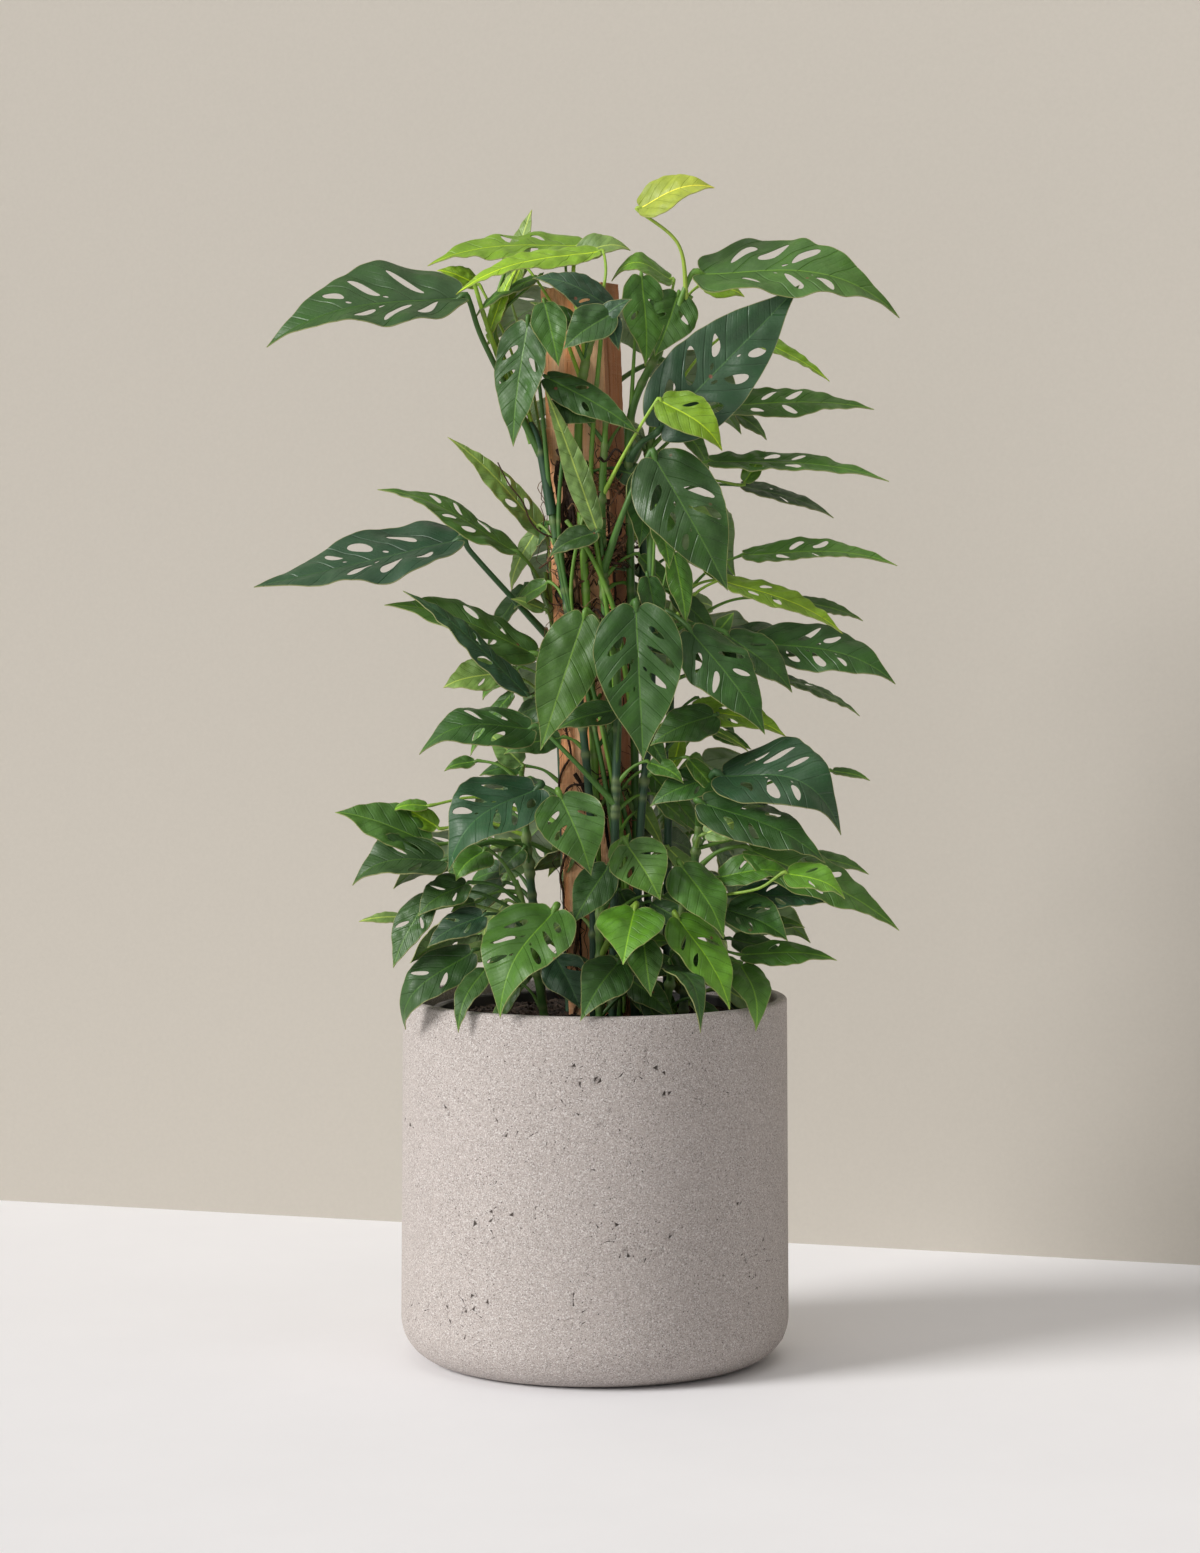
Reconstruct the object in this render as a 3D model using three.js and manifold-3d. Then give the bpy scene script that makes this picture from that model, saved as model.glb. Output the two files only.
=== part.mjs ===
// A monstera adansonii climbing a rough-sawn wooden stake, in its nursery pot inside a
// cylindrical fine-grit planter. Millimetres, +Z up, front towards -Y, origin at the middle
// of the planter's underside.
import * as THREE from "three";
import { mergeVertices } from "three/addons/utils/BufferGeometryUtils.js";
import Module from "manifold-3d";

const wasm = await Module();
wasm.setup();

// Planter: a straight cylinder with a rounded lip and a large round at the foot.
const PLANTER_HEIGHT = 310;
const PLANTER_RIM_RADIUS = 164;
const PLANTER_FOOT_RADIUS = 166;
const PLANTER_WALL = 9.5;
const PLANTER_FLOOR = 24;
const FOOT_ROUND = 37;
const LIP_ROUND = 3;
const PLANTER_SIDES = 36;
const FOOT_STEPS = 4;

// Nursery pot: thin black plastic, tapered, with a rolled rim and drain holes.
const GROW_POT_TOP = 301;
const GROW_POT_RIM_RADIUS = 139;
const GROW_POT_FOOT_RADIUS = 120;
const GROW_POT_WALL = 2;
const GROW_POT_RIM_WIDTH = 5;
const GROW_POT_RIM_DROP = 12;
const GROW_POT_SIDES = 24;
const DRAIN_HOLES = 4;
const DRAIN_RADIUS = 7;
const DRAIN_CIRCLE = 80;
const DRAIN_SIDES = 8;
const DRILL_LENGTH = 20;

const REST_GAP = 0.3;
const SOIL_TOP = 291;
const SOIL_CROWN = 3;
const SOIL_CROWN_RADIUS = 70;
const SOIL_HOLE_GAP = 0.6;

// Stake: sawn timber, turned about its length and leaning to the left.
const STAKE_WIDTH = 55;
const STAKE_DEPTH = 48;
const STAKE_TURN = THREE.MathUtils.degToRad(-18);
const STAKE_FOOT_Z = 60;
const STAKE_TOP_Z = 913;
const STAKE_X_AT_SOIL = 11;
const STAKE_LEAN = -0.0386;
const STAKE_TOP_SLOPE = 5;

// Leaves and stems.
const BLADE_THICKNESS = 0.9;
const SAME_POINT = 1e-6;
const WELD = 1e-4;
const STEM_RADIUS = 3.6;
const STEM_SIDES = 5;
const STEM_STEPS = 2;
const STALK_HALF = 1.6;
const KNEE_LENGTH = 7;
const STALK_BEND = 0.5;
const STALK_RISE = 0.12;
const ROOT_END_Z = 225;
const ARCH_SKEW = 1.35;
const FOLD = 0.13;
const MARGIN_DROP = 0.16;

// Half the outline of a leaf: [distance along the midrib, half width], as shares of the
// length and of the half width. The base is lightly heart-shaped and the tip drawn out.
const OUTLINE = [[-0.035, 0.3], [0.1, 0.84], [0.33, 1], [0.62, 0.72], [0.86, 0.23]];
const OUTLINE_NARROW = [[-0.02, 0.4], [0.16, 0.9], [0.45, 0.96], [0.8, 0.38]];
const OUTLINE_SMALL = [[0.06, 0.66], [0.36, 1], [0.76, 0.46]];
const SMALL_WIDTH = 32;
const MIDRIB = [0.09, 0.36, 0.68];
const MIDRIB_NARROW = [0.1, 0.5];

// Places of the holes between the side veins: [along, side, length share, width share],
// in the order in which a leaf gets them.
const HOLES = [
  [0.33, 1, 0.62, 0.036], [0.45, -1, 0.58, 0.036], [0.25, -1, 0.56, 0.034], [0.49, 1, 0.54, 0.034],
];
const HOLE_SIDES = 4;
const MOST_HOLES_NARROW = 2;
const NARROW_WIDTH = 45;
const HOLE_MIDDLE = 0.5;
const VEIN_SLANT = 0.85;
const MOST_SLOPE = 0.33;

// Each stem: its colour, its route from the soil up, the way its leaves look, and its leaves.
// A leaf: height where its stalk leaves the stem, blade base x y z, tip x y z, width,
// tilt of the upper face from straight up towards the stem's look, arch, number of holes,
// and where the stalk needs it a point on its way.
const LEFT = [-0.35, -0.94];
const FRONT = [0, -1];
const RIGHT = [0.35, -0.94];
const BACK = [0, 1];
const VINES = {
  vine_left_top: {
    colour: 0x2e4a2c,
    route: [[-1, -42, ROOT_END_Z], [-3, -43, 450], [-17, -41, 600], [-31, -33, 690], [-40, -28, 745],
      [-49, -26, 786]],
    look: LEFT,
    leaves: [
      [770, -114, -32, 901, -274, -50, 859, 98, 40, 18, 6, [-94, -30, 866]],
      [740, -73, 36, 913, -54, 42, 982, 26, 68, 3, 0],
      [750, -100, 6, 915, -134, 4, 927, 22, 50, 3, 0],
      [760, -47, -22, 920, -101, -26, 884, 24, 20, 6, 0, [-84, -20, 872]],
      [730, -56, -52, 878, -68, -60, 776, 48, 68, 6, 3],
    ],
  },
  vine_crown: {
    colour: 0x7d9c48,
    route: [[6, -33, ROOT_END_Z], [0, -34, 500], [-9, -34, 680], [-14, -34, 770], [-10, -36, 835],
      [2, -37, 886]],
    look: FRONT,
    leaves: [
      [850, -14, 14, 949, -142, 6, 931, 52, 26, 9, 3, [-18, -36, 924]],
      [884, 4, -22, 941, -116, -46, 903, 32, 34, 11, 0, [9, -38, 920]],
      [860, -16, -8, 938, 30, -6, 943, 32, 44, 8, 0, [-24, -36, 922]],
      [878, 14, -48, 892, -52, -54, 916, 35, 48, 9, 1],
      [870, 14, -62, 886, -26, -72, 856, 37, 62, 5, 0],
      [846, -42, -58, 896, -30, -68, 842, 30, 62, 5, 0],
    ],
  },
  vine_front_top: {
    colour: 0x4c7338,
    route: [[22, -38, ROOT_END_Z], [15, -38, 500], [6, -38, 705], [9, -39, 800]],
    look: FRONT,
    leaves: [
      [735, 55, -58, 814, 106, -68, 772, 40, 50, 10, 1, [30, -52, 780]],
      [672, 50, -66, 766, 110, -94, 656, 72, 66, 10, 5, [24, -62, 722]],
      [700, 2, -50, 706, -42, -56, 825, 22, 62, 5, 0],
      [680, 2, -52, 705, -38, -54, 684, 26, 50, 6, 0],
      [800, -40, -48, 834, 37, -58, 786, 32, 62, 6, 2],
    ],
  },
  vine_right_top: {
    colour: 0x3c6130,
    route: [[39, -25, ROOT_END_Z], [34, -26, 500], [29, -28, 740], [31, -29, 806], [54, -27, 858],
      [81, -21, 904]],
    look: RIGHT,
    leaves: [
      [898, 38, -34, 976, 100, -42, 992, 42, 52, 11, 0, [70, -31, 946]],
      [870, 64, -4, 919, 14, -8, 917, 34, 40, 18, 0],
      [880, 90, -24, 922, 255, -40, 884, 80, 38, 25, 6],
      [880, 92, 4, 914, 127, 8, 905, 24, 50, 4, 0],
      [850, 70, -22, 905, 50, -38, 852, 44, 62, 5, 2],
      [800, 39, -32, 919, 42, -40, 844, 40, 72, 5, 2],
      [765, 55, -46, 792, 171, -52, 911, 74, 64, 6, 6],
    ],
  },
  vine_right_upper: {
    colour: 0x335430,
    route: [[48, -6, ROOT_END_Z], [44, -6, 450], [41, -8, 640], [42, -8, 740], [48, -6, 795]],
    look: RIGHT,
    leaves: [
      [785, 120, 14, 878, 200, 16, 834, 25, 45, 4, 1],
      [775, 106, -4, 812, 236, -12, 809, 42, 36, 6, 4],
      [765, 120, 6, 806, 146, 8, 784, 22, 50, 3, 0],
      [735, 99, -14, 765, 248, -22, 748, 38, 28, 8, 4],
      [720, 126, 18, 745, 204, 22, 718, 30, 34, 5, 2],
    ],
  },
  vine_right_front: {
    colour: 0x2c4f2e,
    route: [[32, -45, ROOT_END_Z], [38, -46, 450], [47, -46, 560], [47, -48, 690], [44, -50, 745]],
    look: RIGHT,
    leaves: [
      [720, 42, -46, 756, 37, -52, 692, 36, 76, 4, 0],
      [640, 80, -70, 622, 141, -90, 537, 58, 60, 8, 4],
      [620, 112, -48, 618, 165, -58, 571, 46, 56, 6, 3],
      [500, 100, -62, 552, 46, -76, 527, 42, 50, 8, 0],
      [530, 82, -46, 556, 160, -56, 534, 40, 44, 8, 2],
    ],
  },
  vine_right_mid: {
    colour: 0x3d6a33,
    route: [[60, -26, ROOT_END_Z], [62, -26, 450], [64, -24, 580], [66, -20, 650]],
    look: RIGHT,
    leaves: [
      [640, 128, -6, 686, 256, -14, 677, 36, 30, 9, 4],
      [630, 108, -30, 664, 208, -42, 620, 36, 30, 8, 3],
      [620, 168, 12, 648, 229, 14, 630, 20, 36, 3, 0],
      [600, 139, -12, 612, 254, -26, 577, 56, 40, 14, 5],
      [590, 114, 16, 616, 211, 22, 593, 46, 44, 10, 2],
      [580, 160, 6, 582, 226, 8, 549, 24, 22, 4, 1],
    ],
  },
  vine_centre: {
    colour: 0x28482f,
    route: [[14, -58, ROOT_END_Z], [17, -57, 458], [19, -56, 560], [17, -57, 625]],
    look: FRONT,
    leaves: [
      [600, -9, -78, 634, -45, -98, 524, 52, 68, 6, 0],
      [610, 34, -80, 641, 40, -106, 516, 74, 74, 7, 6],
      [500, 18, -66, 557, -32, -70, 540, 28, 50, 5, 1],
      [477, -54, -64, 541, -146, -80, 520, 58, 44, 21, 4, [-25, -68, 522]],
    ],
  },
  vine_left_mid: {
    colour: 0x2f5233,
    route: [[-20, 14, ROOT_END_Z], [-25, 14, 400], [-33, 10, 600], [-42, 2, 672]],
    look: LEFT,
    leaves: [
      [624, -43, -8, 704, -125, -4, 786, 26, 40, 8, 3],
      [640, -70, -20, 690, -183, -28, 741, 48, 22, 9, 5],
      [610, -117, -34, 698, -286, -46, 659, 88, 30, 0, 6, [-104, -30, 688]],
      [585, -53, -42, 604, -176, -56, 644, 60, 38, 10, 4],
      [545, -58, -92, 572, -158, -104, 656, 36, 26, 6, 2],
      [550, -82, -20, 586, -128, -26, 574, 36, 54, 4, 1],
    ],
  },
  vine_left_low: {
    colour: 0x2d5230,
    route: [[-38, -34, ROOT_END_Z], [-46, -38, 330], [-58, -44, 450], [-62, -46, 505]],
    look: LEFT,
    leaves: [
      [490, -49, -76, 491, -121, -106, 424, 78, 52, 26, 6],
      [500, -62, -30, 510, -91, -30, 537, 24, 60, 3, 0],
      [430, -140, -64, 446, -217, -68, 471, 48, 46, 6, 0],
      [440, -126, -84, 432, -201, -94, 412, 62, 46, 16, 3],
      [450, -132, -54, 458, -162, -50, 474, 20, 60, 3, 0],
      [420, -60, -58, 440, -80, -62, 418, 24, 60, 3, 0],
    ],
  },
  vine_left_base: {
    colour: 0x336033,
    route: [[-34, -62, ROOT_END_Z], [-44, -68, 310], [-58, -74, 385], [-66, -76, 415]],
    look: LEFT,
    leaves: [
      [410, -92, -84, 440, -115, -96, 416, 40, 58, 6, 0],
      [395, -106, -92, 413, -146, -102, 387, 40, 46, 6, 2],
      [385, -138, -90, 402, -167, -100, 344, 34, 62, 5, 2],
      [370, -92, -106, 388, -138, -116, 362, 34, 56, 6, 2],
      [350, -34, -116, 392, -77, -156, 309, 78, 56, 22, 6],
      [345, -102, -90, 356, -158, -78, 290, 42, 58, 26, 2],
      [340, -90, -104, 344, -112, -134, 294, 26, 58, 12, 0],
    ],
  },
  vine_centre_low: {
    colour: 0x4a8a35,
    route: [[2, -76, ROOT_END_Z], [4, -78, 300], [4, -80, 380], [2, -80, 425]],
    look: FRONT,
    leaves: [
      [400, -28, -107, 486, -3, -131, 423, 58, 60, 12, 3],
      [390, 11, -88, 427, -18, -98, 380, 34, 66, 5, 0],
      [380, 27, -102, 446, 54, -124, 402, 50, 62, 7, 3],
      [345, 19, -122, 350, -12, -168, 307, 42, 60, 12, 0],
      [350, 33, -108, 393, 23, -156, 352, 56, 58, 8, 0],
      [340, -32, -100, 352, -12, -124, 312, 38, 64, 6, 1],
      [330, 40, -112, 368, 46, -138, 324, 30, 66, 5, 0],
    ],
  },
  vine_right_low: {
    colour: 0x2f5a30,
    route: [[72, -42, ROOT_END_Z], [76, -46, 330], [84, -52, 430], [90, -54, 480]],
    look: RIGHT,
    leaves: [
      [475, 100, -62, 500, 46, -72, 476, 34, 50, 8, 2],
      [480, 106, -68, 502, 204, -94, 454, 82, 44, 34, 6],
      [460, 90, -92, 480, 190, -116, 432, 58, 52, 12, 4],
      [440, 92, -80, 454, 133, -84, 468, 26, 56, 4, 1],
      [420, 130, -74, 440, 253, -88, 374, 50, 38, 8, 4],
      [440, 176, -48, 434, 230, -52, 418, 24, 40, 3, 0],
      [410, 104, -84, 418, 165, -84, 419, 32, 44, 8, 1],
    ],
  },
  vine_right_base: {
    colour: 0x3a7034,
    route: [[48, -68, ROOT_END_Z], [58, -74, 300], [68, -78, 360], [74, -80, 400]],
    look: RIGHT,
    leaves: [
      [395, 72, -98, 428, 106, -120, 370, 46, 62, 8, 0],
      [360, 69, -104, 385, 111, -126, 312, 50, 62, 10, 3],
      [380, 110, -86, 391, 160, -98, 366, 44, 52, 6, 4],
      [400, 158, -122, 424, 205, -132, 404, 36, 46, 8, 2, [132, -112, 410]],
      [385, 120, -72, 401, 198, -80, 396, 34, 36, 4, 3],
      [350, 124, -70, 352, 202, -78, 348, 30, 42, 6, 1],
      [330, 66, -96, 356, 106, -104, 322, 32, 58, 6, 0],
      [330, 60, -108, 347, 86, -162, 297, 30, 60, 24, 0],
      [340, 122, -76, 344, 133, -110, 292, 34, 62, 14, 0],
    ],
  },
  vine_back_top: {
    colour: 0x2f5230,
    route: [[10, 36, ROOT_END_Z], [2, 36, 500], [-8, 36, 760], [-12, 36, 850]],
    look: BACK,
    leaves: [
      [845, -30, 62, 908, -96, 120, 870, 60, 40, 12, 2],
      [835, 22, 66, 900, 58, 150, 850, 66, 44, 14, 2],
      [800, 60, 48, 850, 128, 100, 792, 66, 44, 12, 2],
      [780, -24, 62, 820, -34, 146, 752, 64, 50, 12, 2],
      [750, 10, 76, 800, 6, 156, 724, 70, 50, 12, 2],
    ],
  },
  vine_back_mid: {
    colour: 0x2b4c2c,
    route: [[32, 34, ROOT_END_Z], [28, 38, 450], [22, 40, 600], [16, 40, 680]],
    look: BACK,
    leaves: [
      [670, 66, 66, 726, 124, 130, 668, 68, 46, 12, 2],
      [650, -22, 76, 704, -44, 150, 634, 60, 50, 12, 2],
      [620, 20, 86, 660, 26, 170, 590, 72, 50, 14, 2],
      [580, 82, 58, 626, 156, 108, 576, 60, 44, 12, 2],
      [560, -34, 68, 600, -62, 138, 542, 56, 50, 12, 2],
      [540, -4, 92, 566, -20, 168, 486, 68, 54, 12, 2],
    ],
  },
  vine_back_low: {
    colour: 0x35602f,
    route: [[-14, 44, ROOT_END_Z], [-20, 52, 340], [-26, 58, 430], [-28, 60, 470]],
    look: BACK,
    leaves: [
      [465, -60, 72, 488, -108, 122, 430, 58, 50, 12, 2],
      [440, -46, 98, 452, -84, 166, 388, 66, 54, 12, 2],
      [420, -96, 44, 436, -176, 70, 396, 60, 44, 12, 2],
      [390, 0, 110, 420, 4, 172, 352, 62, 58, 10, 2],
      [360, -70, 92, 372, -126, 132, 330, 52, 54, 14, 2],
    ],
  },
  vine_back_right: {
    colour: 0x3a6a34,
    route: [[44, 50, ROOT_END_Z], [50, 58, 340], [58, 62, 430], [62, 64, 480]],
    look: BACK,
    leaves: [
      [475, 92, 84, 508, 156, 128, 450, 66, 48, 12, 2],
      [455, 52, 104, 478, 82, 174, 414, 64, 54, 12, 2],
      [430, 116, 54, 446, 196, 84, 404, 60, 42, 12, 2],
      [390, 84, 94, 404, 132, 142, 344, 58, 54, 14, 2],
      [370, 116, 22, 384, 186, 34, 352, 46, 42, 10, 2],
    ],
  },
};

function colour(hex, roughness) {
  return new THREE.MeshStandardMaterial({ color: hex, roughness, metalness: 0 });
}

// A closed geometry as a solid for joining and cutting.
function toSolid(geometry) {
  const bare = geometry.clone();
  bare.deleteAttribute("normal");
  bare.deleteAttribute("uv");
  const merged = mergeVertices(bare, WELD);
  return new wasm.Manifold(new wasm.Mesh({
    numProp: 3,
    vertProperties: new Float32Array(merged.attributes.position.array),
    triVerts: new Uint32Array(merged.index.array),
  }));
}

function toGeometry(solid) {
  const mesh = solid.getMesh();
  const geometry = new THREE.BufferGeometry();
  geometry.setAttribute("position", new THREE.BufferAttribute(mesh.vertProperties, 3));
  geometry.setIndex(new THREE.BufferAttribute(mesh.triVerts, 1));
  geometry.computeVertexNormals();
  return geometry;
}

// A lathe profile [radius, height] about the Z axis.
function turned(profile, sides) {
  const geometry = new THREE.LatheGeometry(profile.map(([r, z]) => new THREE.Vector2(r, z)), sides);
  return geometry.rotateX(Math.PI / 2);
}

// A round rod along a smooth curve through the points.
function rod(points, radius, sides, steps) {
  const curve = new THREE.CatmullRomCurve3(points.map((p) => new THREE.Vector3(...p)));
  const section = new THREE.Shape();
  for (let i = 0; i < sides; i++) {
    const angle = (2 * Math.PI * i) / sides;
    section[i ? "lineTo" : "moveTo"](radius * Math.cos(angle), radius * Math.sin(angle));
  }
  return new THREE.ExtrudeGeometry(section, { steps, bevelEnabled: false, extrudePath: curve });
}

// The contour of half of the flat blade, in shares: u along, v across. It starts where the
// stalk's edge meets the base and comes back along the midrib.
function halfBlade(side, outline, midrib, seat) {
  const contour = [new THREE.Vector2(0, side * seat)];
  outline.forEach(([u, v]) => contour.push(new THREE.Vector2(u, side * v)));
  contour.push(new THREE.Vector2(1, 0));
  [...midrib].reverse().forEach((u) => contour.push(new THREE.Vector2(u, 0)));
  return contour;
}

// The half width of the outline at u.
function halfWidthAt(outline, u) {
  const points = [[outline[0][0], 0], ...outline, [1, 0]];
  const k = points.findIndex(([pu], i) => i > 0 && pu >= u);
  const [u0, v0] = points[k - 1];
  const [u1, v1] = points[k];
  return v0 + ((v1 - v0) * (u - u0)) / (u1 - u0);
}

// The leaf's own space: base, run along the midrib, across and up vectors.
function leafFrame(row, look) {
  const base = new THREE.Vector3(row[1], row[2], row[3]);
  const run = new THREE.Vector3(row[4], row[5], row[6]).sub(base);
  const tilt = THREE.MathUtils.degToRad(row[8]);
  const up = new THREE.Vector3(look[0] * Math.sin(tilt), look[1] * Math.sin(tilt), Math.cos(tilt));
  const along = run.clone().normalize();
  up.addScaledVector(along, -up.dot(along)).normalize();
  return { base, run, up, across: up.clone().cross(along), width: row[7], arch: row[9] };
}

// A point of the blade in space: v runs from -1 to 1 across.
function onBlade(frame, u, v) {
  const half = frame.width / 2;
  const share = Math.max(u, 0) ** ARCH_SKEW;
  const lift = 4 * frame.arch * share * (1 - share) + half * (FOLD * Math.abs(v) - MARGIN_DROP * v * v);
  return frame.base.clone()
    .addScaledVector(frame.run, u)
    .addScaledVector(frame.across, half * v)
    .addScaledVector(frame.up, lift);
}

function outlineFor(width, count) {
  if (width >= NARROW_WIDTH) return OUTLINE;
  return count > 0 || width > SMALL_WIDTH ? OUTLINE_NARROW : OUTLINE_SMALL;
}

// The four-sided holes of one half of a blade, slanted along its side veins.
function bladeHoles(side, outline, count, slope) {
  return HOLES.slice(0, count).filter((hole) => hole[1] === side).map(([at, , long, wide]) => {
    const room = halfWidthAt(outline, at);
    const ring = [];
    for (let i = 0; i < HOLE_SIDES; i++) {
      const angle = (2 * Math.PI * i) / HOLE_SIDES;
      const out = (long / 2) * room * Math.cos(angle);
      const u = at + wide * Math.sin(angle) + VEIN_SLANT * slope * out;
      ring.push(new THREE.Vector2(u, side * (HOLE_MIDDLE * room + out)));
    }
    return ring;
  });
}

// A leaf: a thin blade with one triangulation for both faces, whose halves share the midrib,
// and its square stalk, which runs on from the blade's base over a knee into the stem.
function leaf(row, look, route) {
  const frame = leafFrame(row, look);
  const count = Math.min(row[10], frame.width < NARROW_WIDTH ? MOST_HOLES_NARROW : HOLES.length);
  const outline = outlineFor(frame.width, count);
  const midrib = outline === OUTLINE ? MIDRIB : MIDRIB_NARROW;
  const slope = Math.min(frame.width / 2 / frame.run.length(), MOST_SLOPE);
  const seat = STALK_HALF / (frame.width / 2);
  const flat = [];
  const faces = [];
  const place = (p) => {
    const k = flat.findIndex((q) => q.distanceTo(p) < SAME_POINT);
    return k >= 0 ? k : flat.push(p) - 1;
  };
  const [left, right] = [1, -1].map((side) => {
    const contour = halfBlade(side, outline, midrib, seat);
    const holes = bladeHoles(side, outline, count, slope);
    const points = [contour, ...holes].flat();
    const index = points.map(place);
    for (const [a, b, c] of THREE.ShapeUtils.triangulateShape(contour, holes)) {
      const area = points[b].clone().sub(points[a]).cross(points[c].clone().sub(points[a]));
      faces.push(area > 0 ? [index[a], index[b], index[c]] : [index[a], index[c], index[b]]);
    }
    return index[0];
  });
  faces.push([right, place(new THREE.Vector2(midrib[0], 0)), left]);

  const n = flat.length;
  const position = [];
  for (const offset of [BLADE_THICKNESS / 2, -BLADE_THICKNESS / 2]) {
    flat.forEach((p) => position.push(...onBlade(frame, p.x, p.y).addScaledVector(frame.up, offset)));
  }
  const indices = faces.flatMap(([a, b, c]) => [a, b, c, a + n, c + n, b + n]);
  const directed = new Set(faces.flatMap(([a, b, c]) => [`${a},${b}`, `${b},${c}`, `${c},${a}`]));
  for (const edge of directed) {
    const [a, b] = edge.split(",").map(Number);
    const open = !directed.has(`${b},${a}`);
    if (open && !(a === left && b === right)) indices.push(a, a + n, b + n, a, b + n, b);
  }
  joinStalk(frame, row, route, position, indices, [left, right, right + n, left + n]);
  const geometry = new THREE.BufferGeometry();
  geometry.setAttribute("position", new THREE.Float32BufferAttribute(position, 3));
  geometry.setIndex(indices);
  return geometry;
}

// The stalk's middle line from the blade's base back to the stem, over a knee on a wide leaf.
function stalkLine(frame, row, route) {
  const seat = onBlade(frame, 0, 0);
  const along = frame.run.clone().normalize();
  const knee = seat.clone().addScaledVector(along, frame.width < NARROW_WIDTH ? 0 : -KNEE_LENGTH);
  const root = new THREE.Vector3(...stemAt(route, row[0]));
  const bend = row[11] ? new THREE.Vector3(...row[11]) : knee.clone().lerp(root, STALK_BEND);
  if (!row[11]) bend.z += STALK_RISE * knee.distanceTo(root);
  return knee.equals(seat) ? [seat, bend, root] : [seat, knee, bend, root];
}

function joinStalk(frame, row, route, position, indices, seatRing) {
  const line = stalkLine(frame, row, route);
  const side = frame.across.clone();
  const up = frame.up.clone();
  let before = frame.run.clone().normalize().negate();
  let ring = seatRing;
  line.slice(1).forEach((point, k) => {
    const next = line[k + 2] || point;
    const heading = point.clone().sub(line[k]).normalize();
    heading.add(next.clone().sub(point).normalize()).normalize();
    const turn = new THREE.Quaternion().setFromUnitVectors(before, heading);
    side.applyQuaternion(turn);
    up.applyQuaternion(turn);
    before = heading;
    const start = position.length / 3;
    for (const [s, w] of [[1, 1], [-1, 1], [-1, -1], [1, -1]]) {
      const corner = point.clone().addScaledVector(side, s * STALK_HALF).addScaledVector(up, w * STALK_HALF);
      position.push(...corner);
    }
    const fresh = [start, start + 1, start + 2, start + 3];
    fresh.forEach((d, i) => {
      const [a, b, c] = [ring[i], ring[(i + 1) % 4], fresh[(i + 1) % 4]];
      indices.push(b, a, d, b, d, c);
    });
    ring = fresh;
  });
  indices.push(ring[3], ring[2], ring[1], ring[3], ring[1], ring[0]);
}

// The point of a stem's route at a height.
function stemAt(route, z) {
  const k = Math.max(1, route.findIndex((p) => p[2] >= z));
  const [a, b] = [route[k - 1], route[k]];
  const t = (z - a[2]) / (b[2] - a[2]);
  return [a[0] + (b[0] - a[0]) * t, a[1] + (b[1] - a[1]) * t, z];
}

function planter() {
  const inside = PLANTER_RIM_RADIUS - PLANTER_WALL;
  const profile = [[0, 0], [PLANTER_FOOT_RADIUS - FOOT_ROUND, 0]];
  for (let i = 1; i <= FOOT_STEPS; i++) {
    const angle = (Math.PI / 2 / FOOT_STEPS) * i;
    profile.push([
      PLANTER_FOOT_RADIUS - FOOT_ROUND + FOOT_ROUND * Math.sin(angle),
      FOOT_ROUND - FOOT_ROUND * Math.cos(angle),
    ]);
  }
  profile.push([PLANTER_RIM_RADIUS, PLANTER_HEIGHT - LIP_ROUND]);
  profile.push([PLANTER_RIM_RADIUS - LIP_ROUND, PLANTER_HEIGHT]);
  profile.push([inside + LIP_ROUND, PLANTER_HEIGHT]);
  profile.push([inside, PLANTER_HEIGHT - LIP_ROUND]);
  profile.push([inside, PLANTER_FLOOR + LIP_ROUND]);
  profile.push([inside - LIP_ROUND, PLANTER_FLOOR]);
  profile.push([0, PLANTER_FLOOR]);
  return turned(profile, PLANTER_SIDES);
}

const growPotFloor = PLANTER_FLOOR + REST_GAP;

function growPotRadius(z) {
  const share = (z - growPotFloor) / (GROW_POT_TOP - growPotFloor);
  const top = GROW_POT_RIM_RADIUS - GROW_POT_RIM_WIDTH;
  return GROW_POT_FOOT_RADIUS + (top - GROW_POT_FOOT_RADIUS) * share;
}

function growPot() {
  const skirt = GROW_POT_TOP - GROW_POT_RIM_DROP;
  const pot = toSolid(turned([
    [0, growPotFloor],
    [GROW_POT_FOOT_RADIUS, growPotFloor],
    [growPotRadius(skirt), skirt],
    [GROW_POT_RIM_RADIUS, skirt],
    [GROW_POT_RIM_RADIUS, GROW_POT_TOP],
    [growPotRadius(GROW_POT_TOP) - GROW_POT_WALL, GROW_POT_TOP],
    [GROW_POT_FOOT_RADIUS - GROW_POT_WALL, growPotFloor + GROW_POT_WALL],
    [0, growPotFloor + GROW_POT_WALL],
  ], GROW_POT_SIDES));
  let drained = pot;
  for (let i = 0; i < DRAIN_HOLES; i++) {
    const angle = (2 * Math.PI * i) / DRAIN_HOLES;
    const drill = new THREE.CylinderGeometry(DRAIN_RADIUS, DRAIN_RADIUS, DRILL_LENGTH, DRAIN_SIDES);
    drill.rotateX(Math.PI / 2);
    drill.translate(DRAIN_CIRCLE * Math.cos(angle), DRAIN_CIRCLE * Math.sin(angle), growPotFloor);
    drained = drained.subtract(toSolid(drill));
  }
  return toGeometry(drained);
}

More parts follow.
